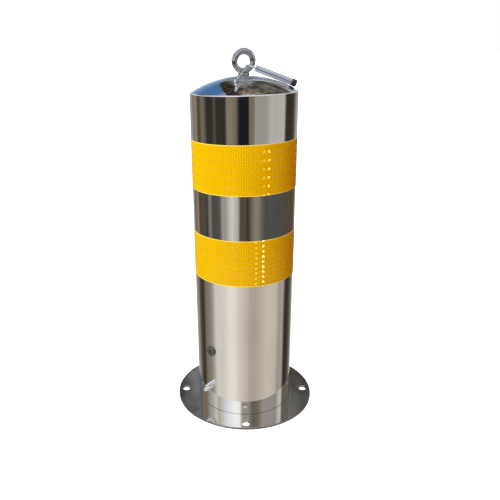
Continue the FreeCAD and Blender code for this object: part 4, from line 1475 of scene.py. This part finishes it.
@dataclass(frozen=True)
class Surroundings:
    """World of the studio: white for the camera, soft light for matt pieces, tones for the mirrors.

    The stripes are read by the direction round the post, from -180 to 180, 0 at the front and
    negative to the left. Far, middle and near belong to three heights below the horizon, and high
    to the one above it. The sky columns are read by the height above the horizon, from 0 to 90.
    """

    far: Stripes = (
        (-180, Tone.SILVER), (-160, Tone.GREY), (-146, Tone.GREY), (-139, Tone.TAUPE), (-130, Tone.DUN),
        (-121, Tone.DUN), (-115, Tone.UMBER), (-108, Tone.UMBER), (-102, Tone.TAUPE), (-95, Tone.OLIVE),
        (-86, Tone.DARK), (-73, Tone.DARK), (-65, Tone.SLATE), (-61, Tone.DARK), (-41, Tone.DARK),
        (-36, Tone.DUN), (-19, Tone.TAUPE), (-12, Tone.INK), (8, Tone.INK), (11, Tone.TAUPE),
        (18, Tone.TAUPE), (22, Tone.GREY), (44, Tone.GREY), (56, Tone.SILVER), (91, Tone.SILVER),
        (98, Tone.DARK), (120, Tone.DARK), (131, Tone.SLATE), (137, Tone.DUN), (142, Tone.GREY),
        (155, Tone.PEARL), (180, Tone.SILVER),
    )
    middle: Stripes = (
        (-180, Tone.LIGHT), (-160, Tone.SILVER), (-152, Tone.GREY), (-145, Tone.TAUPE), (-139, Tone.OLIVE),
        (-132, Tone.DUN), (-126, Tone.DUN), (-120, Tone.UMBER), (-96, Tone.SLATE), (-91, Tone.DARK),
        (-87, Tone.OLIVE), (-81, Tone.DUN), (-76, Tone.SLATE), (-59, Tone.SLATE), (-54, Tone.OLIVE),
        (-50, Tone.GREY), (-43, Tone.GREY), (-35, Tone.SILVER), (-28, Tone.LIGHT), (-14, Tone.PEARL),
        (-10, Tone.SLATE), (2, Tone.UMBER), (7, Tone.DARK), (23, Tone.DUN), (29, Tone.DUN),
        (37, Tone.OLIVE), (46, Tone.SLATE), (85, Tone.SLATE), (139, Tone.UMBER), (150, Tone.TAUPE),
        (162, Tone.PEARL), (180, Tone.LIGHT),
    )
    near: Stripes = (
        (-180, Tone.LIGHT), (-165, Tone.SILVER), (-150, Tone.GREY), (-139, Tone.DUN), (-130, Tone.SLATE),
        (-116, Tone.DARK), (-111, Tone.UMBER), (-106, Tone.TAUPE), (-92, Tone.DUN), (-82, Tone.GREY),
        (-71, Tone.LIGHT), (-53, Tone.LIGHT), (-37, Tone.CREAM), (-24, Tone.CREAM), (-15, Tone.LIGHT),
        (0, Tone.SAND), (15, Tone.STONE), (25, Tone.STONE), (52, Tone.SAND), (79, Tone.SAND),
        (89, Tone.GREY), (94, Tone.GREY), (100, Tone.STONE), (106, Tone.DUN), (112, Tone.DARK),
        (122, Tone.DARK), (133, Tone.SLATE), (142, Tone.TAUPE), (150, Tone.GREY), (160, Tone.LIGHT),
        (180, Tone.LIGHT),
    )
    high: Stripes = (
        (-180, Tone.SLATE), (-166, Tone.SLATE), (-158, Tone.HAZE), (-144, Tone.HAZE), (-130, Tone.TAUPE),
        (-112, Tone.TAUPE), (-101, Tone.GREY), (-88, Tone.SILVER), (-77, Tone.LIGHT), (-68, Tone.SILVER),
        (-56, Tone.LIGHT), (-44, Tone.MIST), (-26, Tone.SNOW), (-14, Tone.SNOW), (-6, Tone.GREY),
        (8, Tone.GREY), (20, Tone.OLIVE), (34, Tone.TAUPE), (46, Tone.GREY), (86, Tone.GREY),
        (97, Tone.LIGHT), (103, Tone.LIGHT), (110, Tone.OLIVE), (150, Tone.OLIVE), (166, Tone.SLATE),
        (180, Tone.SLATE),
    )
    sky_left: Stripes = (
        (0, Tone.LIGHT), (5, Tone.BRIGHT_SKY), (18, Tone.HIGH_SKY), (32, Tone.SKY), (50, Tone.SKY),
        (72, Tone.BRIGHT_SKY), (90, Tone.LILAC),
    )
    sky_middle: Stripes = (
        (0, Tone.LIGHT), (14, Tone.COOL), (29, Tone.COOL), (38, Tone.GREY), (43, Tone.TAUPE),
        (51, Tone.SLATE), (60, Tone.TAUPE), (74, Tone.LIGHT), (90, Tone.LILAC),
    )
    sky_right: Stripes = (
        (0, Tone.LIGHT), (11, Tone.BRIGHT_SKY), (16, Tone.COOL), (24, Tone.GREY), (30, Tone.DARK),
        (34, Tone.SLATE), (39, Tone.OLIVE), (49, Tone.SLATE), (58, Tone.TAUPE), (74, Tone.LIGHT),
        (90, Tone.LILAC),
    )
    light_left: Colour = (1.10, 1.10, 1.10)
    light_right: Colour = (0.28, 0.03, 0.01)
    light_turn: Span = (0.2, 0.66)
    gain: float = 1.12
    sway: float = 5.0
    sway_stretch: float = 0.02
    sway_noise: Triple = (5, 2, 0.5)
    streak_stretch: float = 0.22
    streak_noise: Triple = (1.6, 4, 0.62)
    clump_noise: Triple = (0.16, 4, 0.62)
    clump_change: Span = (0.36, 0.62)
    clump_tones: Span = (0.45, 1.5)
    streak_heights: Span = (-26, -16)
    streak_strengths: Span = (0.2, 0.5)
    near_to_middle: Span = (-22.5, -18.5)
    middle_to_far: Span = (-14, -10.5)
    horizon: Span = (-1.5, 1.5)
    high_to_top: Span = (38, 50)
    dark_rise: Span = (20, 30)
    dark_side: Span = (-7.5, 0.5)
    dark_lean: Span = (-0.35, 1.0)
    dark_edge: Span = (-1.0, 1.0)
    right_side: Span = (4.5, 7.0)
    haze_bottom: Span = (3, 8)
    haze_top: Span = (24, 30)
    rear_heights: Span = (36, 50)
    rear_widths: Span = (20.0, 55.0)
    rear_edge: Span = (0, 6)

    def row(self, board: NodeBoard, azimuth: Feed, stripes: Stripes) -> Socket:
        """Stripes read by the direction round the post."""
        stops = [((angle + 180) / 360, tone.colour) for angle, tone in stripes]
        return board.ramp(board.share(azimuth, -180, 180), stops)

    def column(self, board: NodeBoard, elevation: Feed, stripes: Stripes) -> Socket:
        """Stripes read by the height above the horizon."""
        stops = [(angle / 90, tone.colour) for angle, tone in stripes]
        return board.ramp(board.share(elevation, 0, 90), stops)

    def streaked(self, board: NodeBoard, azimuth: Feed, height: Feed) -> tuple[Socket, ...]:
        """Bend the stripes a little and give them fine streaks.

        Args:
            board: Where the nodes go.
            azimuth: Direction round the post.
            height: Upright part of the direction.

        Returns:
            The bent direction, and the streaks as numbers round 0.
        """
        around = board.math("MULTIPLY", azimuth, self.sway_stretch)
        slow = board.add("CombineXYZ", {0: around, 1: height}).outputs[0]
        sway = board.math("SUBTRACT", board.noise(slow, *self.sway_noise), 0.5)
        bent = board.math("MULTIPLY_ADD", sway, self.sway, azimuth)
        around = board.math("MULTIPLY", bent, self.streak_stretch)
        fine = board.add("CombineXYZ", {0: around, 1: height}).outputs[0]
        return bent, board.math("SUBTRACT", board.noise(fine, *self.streak_noise), 0.5)

    def below(self, board: NodeBoard, azimuth: Feed, elevation: Feed) -> Socket:
        """Lay the three rows below the horizon over each other.

        Args:
            board: Where the nodes go.
            azimuth: Direction round the post.
            elevation: Height above the horizon.

        Returns:
            Their colour.
        """
        far, middle, near = (self.row(board, azimuth, row) for row in (self.far, self.middle, self.near))
        colour = board.mix(board.fit(elevation, *self.middle_to_far), middle, far)
        return board.mix(board.fit(elevation, *self.near_to_middle), near, colour)

    def rear(self, board: NodeBoard, aside: Feed, elevation: Feed) -> Socket:
        """Lay the three sky columns behind the post side by side.

        Args:
            board: Where the nodes go.
            aside: Direction to the right of the one straight behind the post.
            elevation: Height above the horizon.

        Returns:
            Their colour, in clumps past the open sky on the left.
        """
        columns = (self.sky_left, self.sky_middle, self.sky_right)
        left, centre, right = (self.column(board, elevation, column) for column in columns)
        # A dark shape stands between the left and the middle column, and leans left as it rises.
        edge = board.math("MULTIPLY_ADD", elevation, *self.dark_lean)
        past_edge = board.fit(board.math("SUBTRACT", aside, edge), *self.dark_edge)
        dark = board.mix(board.fit(elevation, *self.dark_rise), centre, Tone.DARK.colour)
        colour = board.mix(board.fit(aside, *self.dark_side), dark, centre)
        colour = board.mix(past_edge, left, colour)
        colour = board.mix(board.fit(aside, *self.right_side), colour, right)
        place = board.add("CombineXYZ", {0: aside, 1: elevation}).outputs[0]
        clumps = board.noise(place, *self.clump_noise)
        clumps = board.fit(clumps, *self.clump_change, *self.clump_tones)
        clumps = board.mix(past_edge, WHITE, board.grey(clumps))
        return board.mix(1.0, colour, clumps, "MULTIPLY")

    def mirrored(self, board: NodeBoard) -> Socket:
        """Set out what the mirrors see.

        Args:
            board: Where the nodes go.

        Returns:
            Its colour in each direction.
        """
        direction = board.add("SeparateXYZ", {0: board.add("TexCoord").outputs["Generated"]}).outputs
        toward_back = direction[1]
        toward_front = board.math("MULTIPLY", toward_back, -1.0)
        azimuth = board.math("DEGREES", board.math("ARCTAN2", direction[0], toward_front))
        azimuth, streaks = self.streaked(board, azimuth, direction[2])
        aside = board.math("DEGREES", board.math("ARCTAN2", direction[0], toward_back))
        elevation = board.math("DEGREES", board.math("ARCSINE", direction[2]))
        strength = board.fit(elevation, *self.streak_heights, *self.streak_strengths)
        streaks = board.grey(board.math("MULTIPLY_ADD", streaks, strength, 1.0))
        below = board.mix(1.0, self.below(board, azimuth, elevation), streaks, "MULTIPLY")
        high, top = self.row(board, azimuth, self.high), Tone.LILAC.colour
        around = board.mix(board.fit(elevation, *self.high_to_top), high, top)
        around = board.mix(1.0, around, streaks, "MULTIPLY")
        haze = board.fit(elevation, *self.haze_bottom)
        haze = board.math("MULTIPLY", haze, board.fall(elevation, *self.haze_top))
        around = board.mix(haze, around, Tone.MIST.colour)
        limit = board.fit(elevation, *self.rear_heights, *self.rear_widths)
        sideways = board.math("SUBTRACT", board.math("ABSOLUTE", aside), limit)
        rear = self.rear(board, aside, elevation)
        above = board.mix(board.fit(sideways, *self.rear_edge), rear, around)
        return board.mix(board.fit(elevation, *self.horizon), below, above)

    def soft(self, board: NodeBoard) -> Socket:
        """Soft light on matt surfaces, stronger from the left."""
        direction = board.add("SeparateXYZ", {0: board.add("TexCoord").outputs["Generated"]}).outputs
        return board.mix(board.fit(direction[0], *self.light_turn), self.light_left, self.light_right)

    def build(self) -> None:
        """Make the world."""
        world = bpy.data.worlds.new("studio")
        world.use_nodes = True
        bpy.context.scene.world = world
        board = NodeBoard(world.node_tree)
        rays = board.add("LightPath").outputs
        mirrored = board.mix(1.0, self.mirrored(board), (self.gain,) * 3, "MULTIPLY")
        colour = board.mix(rays["Is Glossy Ray"], self.soft(board), mirrored)
        colour = board.mix(rays["Is Camera Ray"], colour, WHITE)
        light = board.add("Background", {"Color": colour, "Strength": 1.0})
        out = board.add("OutputWorld")
        board.plug(out.inputs["Surface"], light.outputs[0])
        LOG.info("surroundings ready")


@dataclass(frozen=True)
class SoftLamp:
    """A large soft lamp that the mirrors don't show."""

    name: str
    place: Place
    power: float
    size: float
    aim: Place = (0.0, 0.0, 0.4)

    def build(self) -> None:
        """Hang the lamp and point it at the post."""
        data = bpy.data.lights.new(self.name, "AREA")
        data.energy = self.power
        data.size = self.size
        lamp = Bench.put(self.name, data)
        lamp.location = self.place
        aim = Vector(self.aim) - Vector(self.place)
        lamp.rotation_euler = aim.to_track_quat("-Z", "Y").to_euler()
        lamp.visible_glossy = False


@dataclass(frozen=True)
class StripLamp:
    """A narrow upright lamp that only the film's cells catch, each as a row of glints up a band."""

    name: str
    bearing: float
    distance: float
    bottom: float
    top: float
    power: float
    width: float
    colour: Colour

    def build(self, catchers: list[Piece]) -> None:
        """Stand the lamp to the right of the front and link it to its catchers.

        Args:
            catchers: The only pieces that it lights.
        """
        data = bpy.data.lights.new(self.name, "AREA")
        data.energy = self.power
        data.color = self.colour
        data.shape = "RECTANGLE"
        data.size, data.size_y = self.width, self.top - self.bottom
        lamp = Bench.put(self.name, data)
        away = outward(-self.bearing)
        lamp.location = away * self.distance + Vector((0, 0, (self.bottom + self.top) / 2))
        lamp.rotation_euler = (-away).to_track_quat("-Z", "Y").to_euler()
        lamp.visible_diffuse = False
        group = bpy.data.collections.new(self.name)
        for piece in catchers:
            group.objects.link(piece)
        lamp.light_linking.receiver_collection = group


@dataclass(frozen=True)
class Viewpoint:
    """Camera at the photograph's angle."""

    place: Place = (-0.030554, -1.209612, 0.793601)
    yaw: float = 3.2194
    pitch: float = 21.8869
    roll: float = 1.8197
    lens: float = 41.132
    sensor: float = 36
    shift: Span = (0.0986, 0.05)

    def build(self) -> None:
        """Make the camera."""
        data = bpy.data.cameras.new("view")
        data.lens = self.lens
        data.sensor_width = self.sensor
        data.shift_x, data.shift_y = self.shift
        camera = Bench.put("view", data)
        yaw = Matrix.Rotation(math.radians(self.yaw), 4, "Z")
        pitch = Matrix.Rotation(math.radians(90 - self.pitch), 4, "X")
        roll = Matrix.Rotation(math.radians(-self.roll), 4, "Z")
        camera.matrix_world = Matrix.Translation(self.place) @ yaw @ pitch @ roll
        bpy.context.scene.camera = camera


@dataclass(frozen=True)
class Studio:
    """Floor, lights, surroundings and camera."""

    floor_size: float = 60
    soft_lamps: tuple[SoftLamp, ...] = (
        SoftLamp("left_lamp", (-1.7, -1.3, 1.5), power=12.0, size=1.0),
        SoftLamp("front_lamp", (0.2, -2.0, 1.8), power=8.0, size=1.4),
    )
    # Name, bearing, distance, bottom, top, power, width and colour.
    strip_lamps: tuple[StripLamp, ...] = (
        StripLamp("upper_glints", 51.7, 1.60, 0.10, 0.42, 1.95, 0.15, (1.0, 0.95, 0.10)),
        StripLamp("upper_faint_glints", 41.2, 1.60, 0.10, 0.42, 0.9, 0.15, (1.0, 0.9, 0.05)),
        StripLamp("lower_glints", 39.8, 0.80, 0.01, 0.19, 0.8, 0.07, (1.0, 0.98, 0.42)),
        StripLamp("lower_faint_glints", 24.5, 0.81, 0.01, 0.19, 0.25, 0.06, (1.0, 1.0, 0.14)),
    )

    def floor(self) -> None:
        """Large pale floor that neither mirrors nor lights the post."""
        Bench.clear()
        bpy.ops.mesh.primitive_plane_add(size=self.floor_size)
        floor = bpy.context.object
        floor.name = "floor"
        floor.visible_glossy = False
        floor.visible_diffuse = False
        PaleFloor().dress(floor)

    def build(self, bands: list[Piece]) -> None:
        """Set up the studio.

        Args:
            bands: The reflective bands, whose cells catch the strip lamps.
        """
        self.floor()
        Surroundings().build()
        for lamp in self.soft_lamps:
            lamp.build()
        for strip in self.strip_lamps:
            strip.build(bands)
        Viewpoint().build()
        bpy.context.scene.view_settings.view_transform = "Standard"


def main() -> None:
    """Load the frame, build each sub-assembly round it and set up the studio."""
    logging.basicConfig(level=logging.INFO, format="%(name)s: %(message)s")
    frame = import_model()
    FixedBase().build()
    bands = PostShell().build()
    LiftingEye().build()
    PostLock().build()
    ChainStaple().build()
    LiftingKey().build()
    HiddenHardware().build(frame["nodes"])
    Studio().build(bands)


if __name__ == "__main__":
    main()
